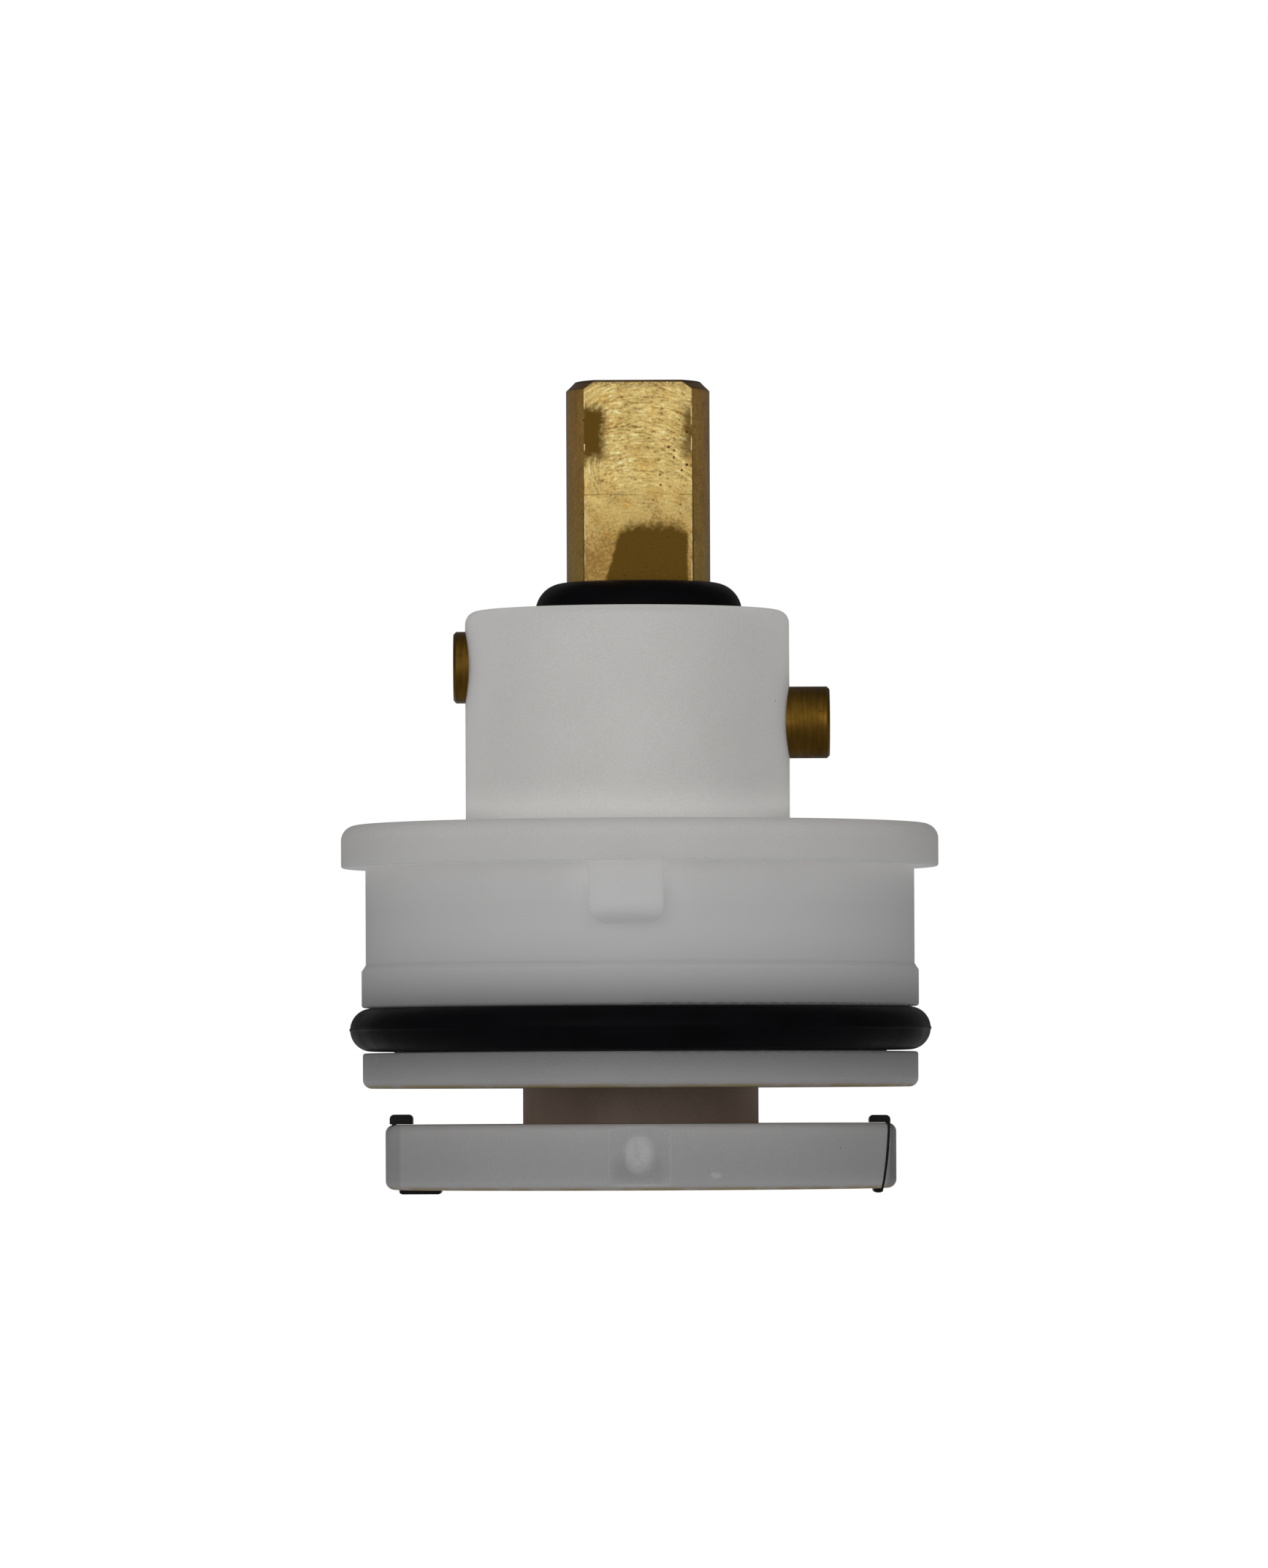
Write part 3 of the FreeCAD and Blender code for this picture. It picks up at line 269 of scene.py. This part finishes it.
PAINTED_GLOW = 0.27  # strength of the painted glow: an emission that lifts acetal's inner corners out of shade
CORNER_REACH = 2.5  # how far from an inner corner the painted glow reaches, in millimetres
SKIRT_RADIUS = 15.5  # the housing's skirt above the O-ring; the key stands out past it
FLANGE_TOP = 2.38  # height of the flange's top, where the neck starts
KEY_SPAN = (-3.3, 1.8)  # across the front, about 0.5 mm past each side of the key
KEY_FOOT = (-3.9, -1.4)  # heights around the key's rounded lower end


def acetal(name, colour, dirt_and_shade):
    """Natural white acetal: translucent and satin, with faint mottling, grain and specks.

    Light comes through the moulding by subsurface scattering; on top of that its inner corners get
    a painted glow, an emission set in colour_acetal, that keeps them free of shadow.
    """
    g = Graph(name)
    grain = g.noise(11.0, detail=3.0)
    mottle = g.spread(g.noise(0.22, detail=3.0), 0.98, 1.012)
    tone = g.plus(mottle, g.spread(grain, -0.04, 0.04))
    warmer = (colour[0], colour[1] * 0.99, colour[2] * 0.98)
    colour = g.shade(g.mix(g.noise(0.5), colour, warmer), tone)
    colour = g.mix(g.times(g.specks(0.55, 0.04, dirt_and_shade), 0.5), colour, (0.16, 0.13, 0.10))
    rough = g.plus(g.spread(g.noise(1.6, detail=4.0), 0.40, 0.54), g.times(grain, 0.06))
    relief = g.plus(g.times(g.noise(0.9), 0.005), g.times(grain, 0.0012))
    g.set(
        Roughness=rough,
        Normal=g.bump(relief, g.soft_edges(0.1)),
        IOR=1.48,
        Specular_IOR_Level=0.25,
        Subsurface_Weight=1.0,
        Subsurface_Radius=(1.0, 0.98, 0.96),
        Subsurface_Scale=3.0 * MM,
    )
    return g, colour


def colour_acetal(g, colour, glow=0.0):
    """Gives acetal its colour, and a painted glow in its inner corners that lifts their shade, with
    some more where asked.
    """
    strength = g.plus(g.times(g.inner_corners(CORNER_REACH), PAINTED_GLOW), glow)
    g.set(Base_Color=colour, Emission_Color=colour, Emission_Strength=strength)


def housing_acetal():
    """The housing's acetal: greyer below the neck, with painted shade towards the black O-ring, low
    on the skirt, below the step, below the neck and under the key, and painted light on the key and
    the neck's edges.
    """
    g, colour = acetal("acetal_housing", colour=(0.89, 0.88, 0.865), dirt_and_shade=0.3)
    colour = g.mix(g.ramp(g.z, 4.0, -4.0), colour, (0.875, 0.875, 0.88))
    above_ring = g.minus(g.z, top_mm("body_o_ring"))
    # Painted shade, multiplied into the colour: darker beside the O-ring, low on the skirt, below
    # the step and below the neck.
    shade_beside_ring = g.ramp(above_ring, -0.4, 1.9, 0.58, 1.0)
    shade_low_on_skirt = g.ramp(above_ring, 1.2, 4.5, 0.86, 1.0)
    shade_below_step = g.ramp(above_ring, 2.25, 2.6, 0.92, 1.0)
    shade_below_neck = g.ramp(g.z, FLANGE_TOP - 0.18, FLANGE_TOP + 1.02, 0.86, 1.0)
    # Painted light: the key a little lighter than the skirt around it.
    past_skirt = g.ramp(g.length(g.join(g.x, g.y, 0.0)), SKIRT_RADIUS, SKIRT_RADIUS + 0.7)
    key = g.times(past_skirt, g.band(g.z, -2.4, -0.1, 0.3))
    painted_light_on_key = g.plus(1.0, g.times(key, 0.07))
    # Painted shade under the key's rounded lower end, where it faces down.
    in_front = g.ramp(g.y, 0.0, -1.0)
    key_end = g.times(g.band(g.x, *KEY_SPAN, 0.3), g.band(g.z, *KEY_FOOT, 0.6), in_front)
    shade_under_key = g.ramp(g.times(key_end, g.nz), -0.1, -0.8, 1.0, 0.94)
    # All the housing's painted shade and painted light, multiplied together.
    tone = g.times(shade_beside_ring, shade_low_on_skirt, shade_below_step, shade_below_neck, shade_under_key, painted_light_on_key)
    # A painted glow at the neck's edges, where it turns away.
    on_neck = g.ramp(g.z, FLANGE_TOP + 0.22, FLANGE_TOP + 1.22)
    painted_glow_on_neck = g.times(g.ramp(g.grazing(), 0.15, 0.85), on_neck, 0.12)
    # Less painted glow around the key's lower end.
    less_at_key = g.times(key_end, g.inner_corners(CORNER_REACH), -0.3 * PAINTED_GLOW)
    colour_acetal(g, g.shade(colour, tone), g.plus(painted_glow_on_neck, less_at_key))
    return g.material


def cap_acetal():
    """The cap's acetal, with painted shade: a darker grey than the housing's, darker still towards
    the O-ring; and a thin brown line at its lower edge.
    """
    # Painted shade: the cap's white acetal is given a much darker grey than the housing's.
    g, colour = acetal("acetal_cap", colour=(0.41, 0.41, 0.418), dirt_and_shade=0.2)
    top = low_mm("body_o_ring")
    low = low_mm("bottom_cap")
    # Painted shade: darker towards the O-ring above.
    colour = g.shade(colour, g.ramp(g.z, low + 0.5, top, 1.0, 0.74))
    colour_acetal(g, brown_edge_line(g, colour, low))
    return g.material


def plate_acetal():
    """The plate's acetal, with painted shade: a darker grey than the housing's, darker lower down
    and at both ends; and marks in front.
    """
    # Painted shade: the plate's white acetal is given a darker grey than the housing's.
    g, colour = acetal("acetal_plate", colour=(0.525, 0.525, 0.533), dirt_and_shade=0.25)
    top = top_mm("seal_plate")
    low = low_mm("seal_plate")
    colour = plate_marks(g, colour, low, top)
    # Painted shade: darker towards the bottom.
    colour = g.shade(colour, g.ramp(g.z, low, top, 0.88, 1.0))
    right_edge = 13.62  # where the painted shade of the right end starts, at the plate's top
    left_edge = -13.2  # where the lighter painted shade of the left end starts
    # Painted shade at both ends; the right one is darker and its edge leans with height.
    leaning = g.plus(g.x, g.times(g.minus(top, g.z), 0.1))
    shaded_right_end = g.ramp(leaning, right_edge, right_edge + 0.12, 1.0, 0.48)
    shaded_left_end = g.ramp(g.x, left_edge, left_edge - 0.2, 1.0, 0.82)
    colour = g.shade(colour, g.times(shaded_right_end, shaded_left_end))
    colour_acetal(g, brown_edge_line(g, colour, low))
    return g.material


def plate_marks(g, colour, low, top):
    """A colour with the marks of the plate's front: painted shade in the hollow, a torn pale gate
    mark and a scuff.
    """
    front = g.ramp(g.y, -11.0, -13.0)
    ragged = g.noise(2.2, detail=5.0, rough=0.7)
    # Painted shade in the hollow.
    shade_in_hollow = g.times(g.band(g.x, -1.5, 1.2, 0.4), g.band(g.z, low + 0.5, low + 1.7, 0.5), front)
    colour = g.shade(colour, g.ramp(shade_in_hollow, 0.0, 1.0, 1.0, 0.9))
    from_gate = g.from_oval(middle=(-0.13, top - 1.65), reach=(0.8, 1.05))
    in_gate = g.ramp(g.plus(from_gate, g.swing(ragged, 0.8)), 1.25, 0.55)
    torn = g.times(in_gate, front, g.plus(0.45, g.times(g.harder(ragged), 0.45)))
    from_scuff = g.from_oval(middle=(4.05, low + 0.8), reach=(0.4, 0.2))
    scuffed = g.times(g.ramp(g.plus(from_scuff, g.swing(ragged, 1.5)), 1.0, 0.5), front, 0.6)
    return g.mix(g.math("MAXIMUM", torn, scuffed), colour, (0.72, 0.715, 0.73))


def brown_edge_line(g, colour, low):
    """A colour with a thin brown line just above a height, broken up by noise."""
    line = g.times(g.ramp(g.z, low + 0.26, low + 0.04), g.ramp(g.noise(0.6), 0.3, 0.6, 0.4, 0.9))
    return g.mix(line, colour, (0.30, 0.22, 0.09))


def ptfe():
    """Waxy white washer material."""
    g, colour = acetal("ptfe", colour=(0.80, 0.80, 0.79), dirt_and_shade=0.1)
    colour_acetal(g, colour)
    return g.material


def rubber(name, colour, shine):
    """Moulded black rubber: pores, a faint greased sheen, dust specks, and a painted sheen that
    lightens it where it turns away.
    """
    g = Graph(name)
    pores = g.noise(7.0, detail=4.0, rough=0.6)
    smear = g.noise(0.45, detail=3.0)
    colour = g.shade(colour, g.spread(smear, 0.7, 1.3))
    dust_and_sheen = g.times(g.specks(1.1, 0.06, 0.22), g.ramp(smear, 0.4, 0.7, 0.1, 0.4))
    # Painted sheen: lighter where the surface turns away from the view.
    dust_and_sheen = g.math("MAXIMUM", dust_and_sheen, g.ramp(g.grazing(), 0.55, 1.0, 0.0, 0.35))
    colour = g.mix(dust_and_sheen, colour, (0.10, 0.095, 0.10))
    relief = g.plus(g.times(pores, 0.003), g.times(smear, 0.02))
    g.set(
        Base_Color=colour,
        Roughness=g.plus(g.spread(smear, 0.34, 0.50), g.times(pores, 0.08)),
        Specular_IOR_Level=shine,
        Normal=g.bump(relief, g.soft_edges(0.05)),
    )
    return g.material


def hub_plastic():
    """Brown-grey filled nylon, with a painted sheen that lightens it where it turns away."""
    g = Graph("hub_nylon")
    flow = g.noise(0.5, detail=3.0, stretch=(1.0, 1.0, 0.4))
    fibre = g.noise(8.0, detail=3.0)
    colour = g.mix(g.spread(flow), (0.43, 0.32, 0.255), (0.48, 0.355, 0.285))
    colour = g.shade(colour, g.spread(fibre, 0.95, 1.05))
    # Painted sheen: lighter where the surface turns away from the view.
    colour = g.shade(colour, g.ramp(g.grazing(), 0.1, 0.8, 1.03, 1.9))
    g.set(
        Base_Color=colour,
        Roughness=g.spread(fibre, 0.46, 0.62),
        Normal=g.bump(g.times(fibre, 0.004), g.soft_edges(0.06)),
        Subsurface_Weight=0.15,
        Subsurface_Radius=(1.0, 0.7, 0.5),
        Subsurface_Scale=0.4 * MM,
    )
    return g.material


# ---------------------------------------------------------------- metals

BAR_RADIUS = 4.0  # the stem's bar
FLAT_HALF_WIDTH = 3.0  # half the width of the bar's two flats
CUTTER_RADIUS = 6.5  # radius of the passes that milled the flats
CUTTER_DOWN = 4.9  # from the stem's top down to the centre of the cutter's last turn
SCORE_DOWN = 6.38  # from the stem's top down to a score across the flat


def stem_brass():
    """Brass stem: milled flats with arc marks, pits, films and painted dark reflections, on a drawn
    and browned bar.
    """
    g = Graph("brass_stem")
    foot = top_mm("stem_wiper_ring")
    high = top_mm("stem")
    middle = high - CUTTER_DOWN
    faces_out = g.ramp(g.math("ABSOLUTE", g.ny), 0.985, 0.998)
    flat = g.times(faces_out, g.ramp(g.z, foot - 0.4, foot - 0.2))
    front = g.ramp(g.ny, -0.9, -0.99)
    grain = g.harder(g.noise(6.5, detail=4.0, rough=0.7), 0.16)
    arcs = cutter_arcs(g, middle, front)
    milled = milled_colour(g, arcs, grain, foot, high)
    # Painted dark reflections on the front flat, and films on the back one.
    reflection_in_front = g.times(front, front_dark_reflection(g, foot, high))
    film_and_reflection = g.math("MAXIMUM", reflection_in_front, g.times(g.minus(1.0, front), back_film(g)))
    film_and_reflection_colour = g.shade((0.125, 0.067, 0.011), g.ramp(grain, 0.0, 1.0, 0.87, 1.13))
    milled = g.mix(film_and_reflection, milled, film_and_reflection_colour)
    pits = flat_pits(g, middle)
    milled = g.mix(pits, milled, (0.09, 0.05, 0.02))
    milled = g.mix(score_line(g, high - SCORE_DOWN), milled, (0.24, 0.13, 0.045))
    milled = g.mix(burr_line(g), milled, (0.97, 0.80, 0.42))
    colour = g.mix(flat, bar_colour(g, grain, foot, high), milled)
    # Painted shade: a thin dark band along the top edge.
    lip = g.times(g.ramp(g.z, high - 0.18, high - 0.1, 0.0, 0.85), g.ramp(g.nz, 0.97, 0.9))
    colour = g.mix(lip, colour, (0.10, 0.06, 0.03))

    bare = g.times(flat, g.minus(1.0, g.times(film_and_reflection, 0.8)))
    tool_marks = g.plus(g.times(arcs, 0.006), g.times(grain, 0.005))
    relief = g.plus(g.times(tool_marks, bare), g.times(grain, 0.002))
    rough = g.plus(g.ramp(grain, 0.0, 1.0, 0.28, 0.42), g.times(flat, 0.06))
    g.set(
        Base_Color=colour,
        Metallic=1.0,
        Roughness=rough,
        Normal=g.bump(g.minus(relief, g.times(pits, 0.02)), g.soft_edges(0.08)),
    )
    return g.material


def cutter_arcs(g, middle, front):
    """Streaks, 0 to 1, along the cutter's wide passes, with a tighter turn at the left edge."""
    face = g.times(front, 7.0)  # keeps the two flats' streaks apart
    passes = g.plus(g.z, g.times(g.x, g.x, 1 / (2 * CUTTER_RADIUS)))
    rise = g.minus(g.z, middle)
    reach = g.length(g.join(g.x, rise, 0.0))
    turn = g.math("ARCTAN2", g.x, rise)
    left = g.ramp(g.x, -1.9, -2.3)
    streaks = 0.0
    for across, along, share in ((4.2, 1.2, 0.45), (9.0, 2.6, 0.55)):
        on_pass = g.join(g.times(passes, across), g.times(g.x, along), face)
        on_turn = g.join(g.times(reach, across), g.times(turn, along), face)
        wide = g.noise(1.0, detail=3.0, at=on_pass)
        tight = g.noise(1.0, detail=3.0, at=on_turn)
        chosen = g.plus(wide, g.times(left, g.minus(tight, wide)))
        streaks = g.plus(g.times(g.harder(chosen), share), streaks)
    return streaks


def milled_colour(g, arcs, grain, foot, high):
    """The bright metal of a flat: streaked along the arcs, calmer and warmer lower down, with
    painted shade towards its foot and along its top edge.
    """
    upper = g.ramp(g.z, high - 7.5, high - 5.0, 0.2, 1.0)
    tone = g.plus(0.95, g.times(g.swing(arcs, 0.58), upper), g.swing(grain, 0.42))
    tone = g.times(tone, g.spread(g.noise(0.8, detail=3.0), 0.90, 1.08))
    # Painted shade: darker towards the flat's foot.
    tone = g.times(tone, g.ramp(g.z, foot + 0.5, high - 4.8, 0.70, 1.0))
    patches = g.ramp(g.noise(1.3, detail=4.0), 0.45, 0.7, 0.0, 0.5)
    warmth = g.plus(patches, g.ramp(g.z, high - 6.0, foot, 0.0, 0.45))
    base = g.mix(warmth, (0.84, 0.62, 0.225), (0.74, 0.42, 0.085))
    base = g.mix(g.ramp(tone, 1.1, 1.4), base, (0.98, 0.84, 0.46))
    base = g.mix(g.ramp(tone, 0.8, 0.55), base, (0.62, 0.36, 0.10))
    bright = g.shade(base, tone)
    # Painted shade along the flat's top edge, broken up by the grain.
    dirt_and_shade = g.times(g.ramp(g.z, high - 0.6, high - 0.15, 0.0, 0.8), g.ramp(grain, 0.35, 0.8))
    return g.mix(dirt_and_shade, bright, (0.22, 0.13, 0.045))


def front_dark_reflection(g, foot, high):
    """Where painted dark reflections lie on the front flat: two beside its upper edges, and one at
    its foot.
    """
    ragged = g.swing(g.noise(3.5, detail=5.0, rough=0.7), 1.1)
    wander = g.swing(g.noise(0.9, detail=2.0), 1.0)
    u = g.plus(g.x, ragged)
    v = g.plus(g.z, ragged, g.times(wander, 0.4))
    left = g.times(g.ramp(u, -1.5, -2.2), g.band(v, high - 4.5, high - 1.4, 0.5))
    past_right = g.ramp(g.plus(u, g.times(wander, 0.5)), 2.1, 2.8)
    right = g.times(past_right, g.band(v, high - 4.4, high - 1.4, 0.7))

    slant = g.plus(g.x, g.times(ragged, 0.35), g.times(g.minus(g.z, foot), -0.29))
    right_side = g.ramp(g.plus(g.x, g.times(ragged, 0.3)), 2.85, 2.65)
    across = g.times(g.ramp(slant, -1.95, -1.72), right_side)
    rounded = g.times(g.math("POWER", g.math("ABSOLUTE", g.minus(g.x, 0.75)), 4.0), 0.035)
    wide = g.times(across, g.ramp(g.plus(v, rounded), foot + 3.6, foot + 2.8))
    return g.math("MINIMUM", g.plus(left, g.times(right, 0.9), wide), 1.0)


def back_film(g):
    """Where films lie on the back flat: a few broad soft clouds."""
    clouds = g.plus(g.noise(0.33, detail=3.0), g.swing(g.noise(3.5, detail=4.0), 0.12))
    return g.ramp(clouds, 0.50, 0.60, 0.0, 0.85)


def flat_pits(g, middle):
    """Small dark pits, most of them to the right of the flat's middle."""
    zone = g.times(g.ramp(g.x, -0.6, 2.4), g.band(g.z, middle - 2.0, middle + 3.0, 1.0))
    small = g.times(g.specks(2.6, 0.17, 0.4), g.plus(0.25, zone))
    large = g.times(g.specks(1.5, 0.13, 0.3), g.plus(0.1, zone))
    return g.math("MINIMUM", g.plus(small, large), 1.0)


def score_line(g, height):
    """A fine brown score across the flat, broken in its middle."""
    wave = g.swing(g.noise(0.7), 0.12)
    line = g.band(g.plus(g.z, wave), height - 0.04, height + 0.02, 0.03)
    ends = g.math("MAXIMUM", g.ramp(g.x, 0.3, -0.1), g.ramp(g.x, 2.1, 2.4))
    return g.times(line, ends, g.ramp(g.noise(2.0), 0.3, 0.5), 0.7)


def burr_line(g):
    """A thin bright burr along both upright edges of a flat, broken in places."""
    edge = g.ramp(g.math("ABSOLUTE", g.x), FLAT_HALF_WIDTH - 0.08, FLAT_HALF_WIDTH - 0.04)
    return g.times(edge, g.ramp(g.noise(1.6, detail=4.0), 0.45, 0.6, 0.0, 0.8))


def bar_colour(g, grain, foot, high):
    """The bar's surface: brown with soft streaks along it, a painted purple-grey reflection at its
    rims, and painted shade beside the flats and near the top.
    """
    streaks = g.harder(g.noise(1.0, detail=4.0, stretch=(1.6, 1.6, 0.3)))
    bar = g.mix(streaks, (0.70, 0.39, 0.10), (0.79, 0.46, 0.125))
    bar = g.mix(g.ramp(g.z, high - 3.0, foot, 0.0, 0.4), bar, (0.58, 0.46, 0.12))
    bar = g.mix(g.ramp(g.noise(0.9, detail=4.0), 0.5, 0.75, 0.0, 0.5), bar, (0.40, 0.22, 0.08))
    # Painted reflection: purple-grey where the bar turns away, at its rims.
    bar = g.mix(g.ramp(g.grazing(), 0.70, 0.95, 0.0, 0.6), bar, (0.50, 0.42, 0.46))
    corner = FLAT_HALF_WIDTH / BAR_RADIUS  # how far sideways the bar faces where a flat cuts it
    # Painted shade beside the flats.
    shade_beside_flat = g.ramp(g.math("ABSOLUTE", g.nx), corner + 0.035, corner + 0.005, 0.0, 0.85)
    bar = g.mix(shade_beside_flat, bar, (0.13, 0.075, 0.03))
    bar = g.mix(g.specks(1.6, 0.12, 0.35), bar, (0.10, 0.05, 0.02))
    # Painted shade near the top.
    bar = g.mix(g.ramp(g.z, high - 0.75, high - 0.3, 0.0, 0.6), bar, (0.34, 0.20, 0.075))
    return g.shade(bar, g.ramp(grain, 0.0, 1.0, 0.94, 1.06))


def pin_brass():
    """Drawn brass with turning marks around it and blotches of tarnish, painted a near-black brown
    for the dark reflections it shows.
    """
    g = Graph("brass_pins")
    rings = g.noise(1.0, detail=3.0, stretch=(6.0, 0.6, 0.6))
    tarnish = g.noise(0.9, detail=4.0)
    # Painted dark reflection: the brass is given a near-black brown instead of its own bright
    # colour.
    colour = g.mix(g.spread(rings), (0.135, 0.07, 0.009), (0.20, 0.11, 0.016))
    colour = g.mix(g.ramp(tarnish, 0.4, 0.7, 0.0, 0.6), colour, (0.12, 0.065, 0.012))
    colour = g.mix(g.specks(2.0, 0.14, 0.3), colour, (0.06, 0.04, 0.015))
    g.set(
        Base_Color=colour,
        Metallic=1.0,
        Roughness=g.spread(tarnish, 0.30, 0.48),
        Normal=g.bump(g.times(rings, 0.006), g.soft_edges(0.08)),
    )
    return g.material


def stainless():
    """Bright drawn stainless steel with fine streaks around the axis."""
    g = Graph("stainless")
    reach = g.length(g.join(g.x, g.y, 0.0))
    rings = g.noise(1.0, detail=3.0, at=g.join(g.times(reach, 12.0), g.times(g.z, 5.0), 0.0))
    smear = g.noise(0.8, detail=3.0)
    g.set(
        Base_Color=g.mix(g.spread(rings), (0.50, 0.50, 0.51), (0.66, 0.66, 0.67)),
        Metallic=1.0,
        Roughness=g.spread(smear, 0.20, 0.36),
        Normal=g.bump(g.times(rings, 0.003), g.soft_edges(0.05)),
    )
    return g.material


def dress_nodes():
    """Gives every CAD node its material."""
    seal_black = rubber("rubber_seals", colour=(0.013, 0.012, 0.012), shine=0.2)
    ring_black = rubber("rubber_rings", colour=(0.0026, 0.0026, 0.0036), shine=0.05)
    brass = stem_brass()
    pins = pin_brass()
    steel = stainless()
    slippery = ptfe()
    chosen = {
        "housing": housing_acetal(),
        "bottom_cap": cap_acetal(),
        "seal_plate": plate_acetal(),
        "thrust_washer": slippery,
        "glide_washer": slippery,
        "body_o_ring": ring_black,
        "stem_wiper_ring": ring_black,
        "stem_o_ring_upper": ring_black,
        "stem_o_ring_lower": ring_black,
        "hub_o_ring": ring_black,
        "side_seal_left": seal_black,
        "side_seal_right": seal_black,
        "port_seal": seal_black,
        "stem": brass,
        "hub_insert": brass,
        "stop_pin": pins,
        "retaining_pin": pins,
        "drive_hub": hub_plastic(),
        "spring_seat": steel,
        "rotor_spring": steel,
        "plate_washer": steel,
        "plate_screw": steel,
    }
    for name, material in chosen.items():
        for material_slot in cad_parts[name].material_slots:
            material_slot.material = material


def add_spring():
    """A copy of the CAD spring, attached to the stem group in its place."""
    spring = bpy.data.objects.new("spring_coil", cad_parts["rotor_spring"].data.copy())
    bpy.context.scene.collection.objects.link(spring)
    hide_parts("rotor_spring")
    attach(spring, "stem_group")
    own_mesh(spring)


# ---------------------------------------------------------------- stage, light and camera

FLOOR_REACH = 3.0  # half the floor's width, in metres
FLOOR_GAP = 0.02  # clear space between the object and the floor, in millimetres
FLOOR_FADE = (45.0, 160.0)  # radii between which the floor turns white, in millimetres


def make_floor():
    """A pale floor that fades to white away from the object, and is white at a grazing view."""
    g = Graph("floor")
    seen = g.add("ShaderNodeBsdfDiffuse", Color=(0.80, 0.80, 0.80))
    lift = g.add("ShaderNodeEmission", Strength=0.42)
    lit = g.add("ShaderNodeAddShader")
    g.feed(lit.inputs[0], seen.outputs[0])
    g.feed(lit.inputs[1], lift.outputs[0])
    white = g.add("ShaderNodeEmission", Strength=1.0)
    bounce = g.add("ShaderNodeEmission", Strength=0.34)

    facing = g.add("ShaderNodeNewGeometry")
    steep = g.split(facing.outputs["Incoming"])[2]
    grazing = g.ramp(steep, 0.03, 0.12, 1.0, 0.0)
    away = g.ramp(g.length(g.join(g.x, g.y, 0.0)), *FLOOR_FADE)
    for_camera = g.either(g.math("MAXIMUM", grazing, away), lit.outputs[0], white.outputs[0])
    path = g.add("ShaderNodeLightPath")
    surface = g.either(path.outputs["Is Camera Ray"], bounce.outputs[0], for_camera)
    g.feed(g.tree.nodes["Material Output"].inputs["Surface"], surface)

    mesh = bpy.data.meshes.new("floor")
    sides = (-FLOOR_REACH, FLOOR_REACH)
    corners = [(x, y, 0.0) for y in sides for x in sides]
    mesh.from_pydata(corners, [], [(0, 1, 3, 2)])
    mesh.materials.append(g.material)
    floor = bpy.data.objects.new("floor", mesh)
    floor.location.z = CAD_BOX[0].z - FLOOR_GAP * MM
    bpy.context.scene.collection.objects.link(floor)


def make_world():
    """White for the camera. For the object, a soft studio, bright in front and dim behind."""
    world = bpy.data.worlds.new("studio")
    world.use_nodes = True
    bpy.context.scene.world = world
    world.node_tree.nodes.clear()
    g = Nodes(world.node_tree)
    direction = g.add("ShaderNodeTexCoord").outputs["Generated"]
    x, y, z = g.split(direction)
    front = g.times(g.ramp(y, 0.25, -0.95, 0.12, 0.56), g.ramp(x, -0.9, 0.9, 1.03, 0.93))
    above = g.ramp(z, -0.3, 0.9, 0.0, 0.04)
    studio = g.add("ShaderNodeBackground", Color=(1.0, 0.995, 0.985), Strength=g.plus(front, above))
    white = g.add("ShaderNodeBackground", Color=(1.0, 1.0, 1.0))
    path = g.add("ShaderNodeLightPath")
    shown = g.either(path.outputs["Is Camera Ray"], studio.outputs[0], white.outputs[0])
    g.add("ShaderNodeOutputWorld", Surface=shown)


def add_panel(name, place_mm, size_mm, power, aim_mm):
    """A soft square light at a place, aimed at a point."""
    light = bpy.data.lights.new(name, "AREA")
    light.shape = "SQUARE"
    light.size = size_mm * MM
    light.energy = power
    panel = bpy.data.objects.new(name, light)
    panel.location = Vector(place_mm) * MM
    aim = Vector(aim_mm) * MM - panel.location
    panel.rotation_euler = aim.to_track_quat("-Z", "Y").to_euler()
    bpy.context.scene.collection.objects.link(panel)


def make_camera():
    """A long lens in front, just above the floor, tilted up a little."""
    distance = 605.0
    view_height = 87.3  # height of the picture at the object's axis
    aside = -0.3
    eye_height = -13.3
    target_height = 4.65
    roll = math.radians(-0.25)
    eye = Vector((aside, -distance, eye_height)) * MM
    target = Vector((aside, 0.0, target_height)) * MM
    data = bpy.data.cameras.new("camera")
    data.sensor_width = 36.0
    data.lens = data.sensor_width * (target - eye).length / MM / view_height
    data.clip_start = 0.01
    data.clip_end = 20.0
    camera = bpy.data.objects.new("camera", data)
    camera.location = eye
    aim = (target - eye).to_track_quat("-Z", "Y")
    camera.rotation_euler = (aim @ Quaternion((0.0, 0.0, 1.0), roll)).to_euler()
    bpy.context.scene.collection.objects.link(camera)
    bpy.context.scene.camera = camera


dress_nodes()
add_spring()
make_floor()
make_world()
add_panel(
    "key_panel",
    place_mm=(-30.0, -190.0, 20.0),
    size_mm=160.0,
    power=0.06,
    aim_mm=(0.0, 0.0, 0.0),
)
make_camera()
bpy.context.scene.view_settings.view_transform = "Standard"
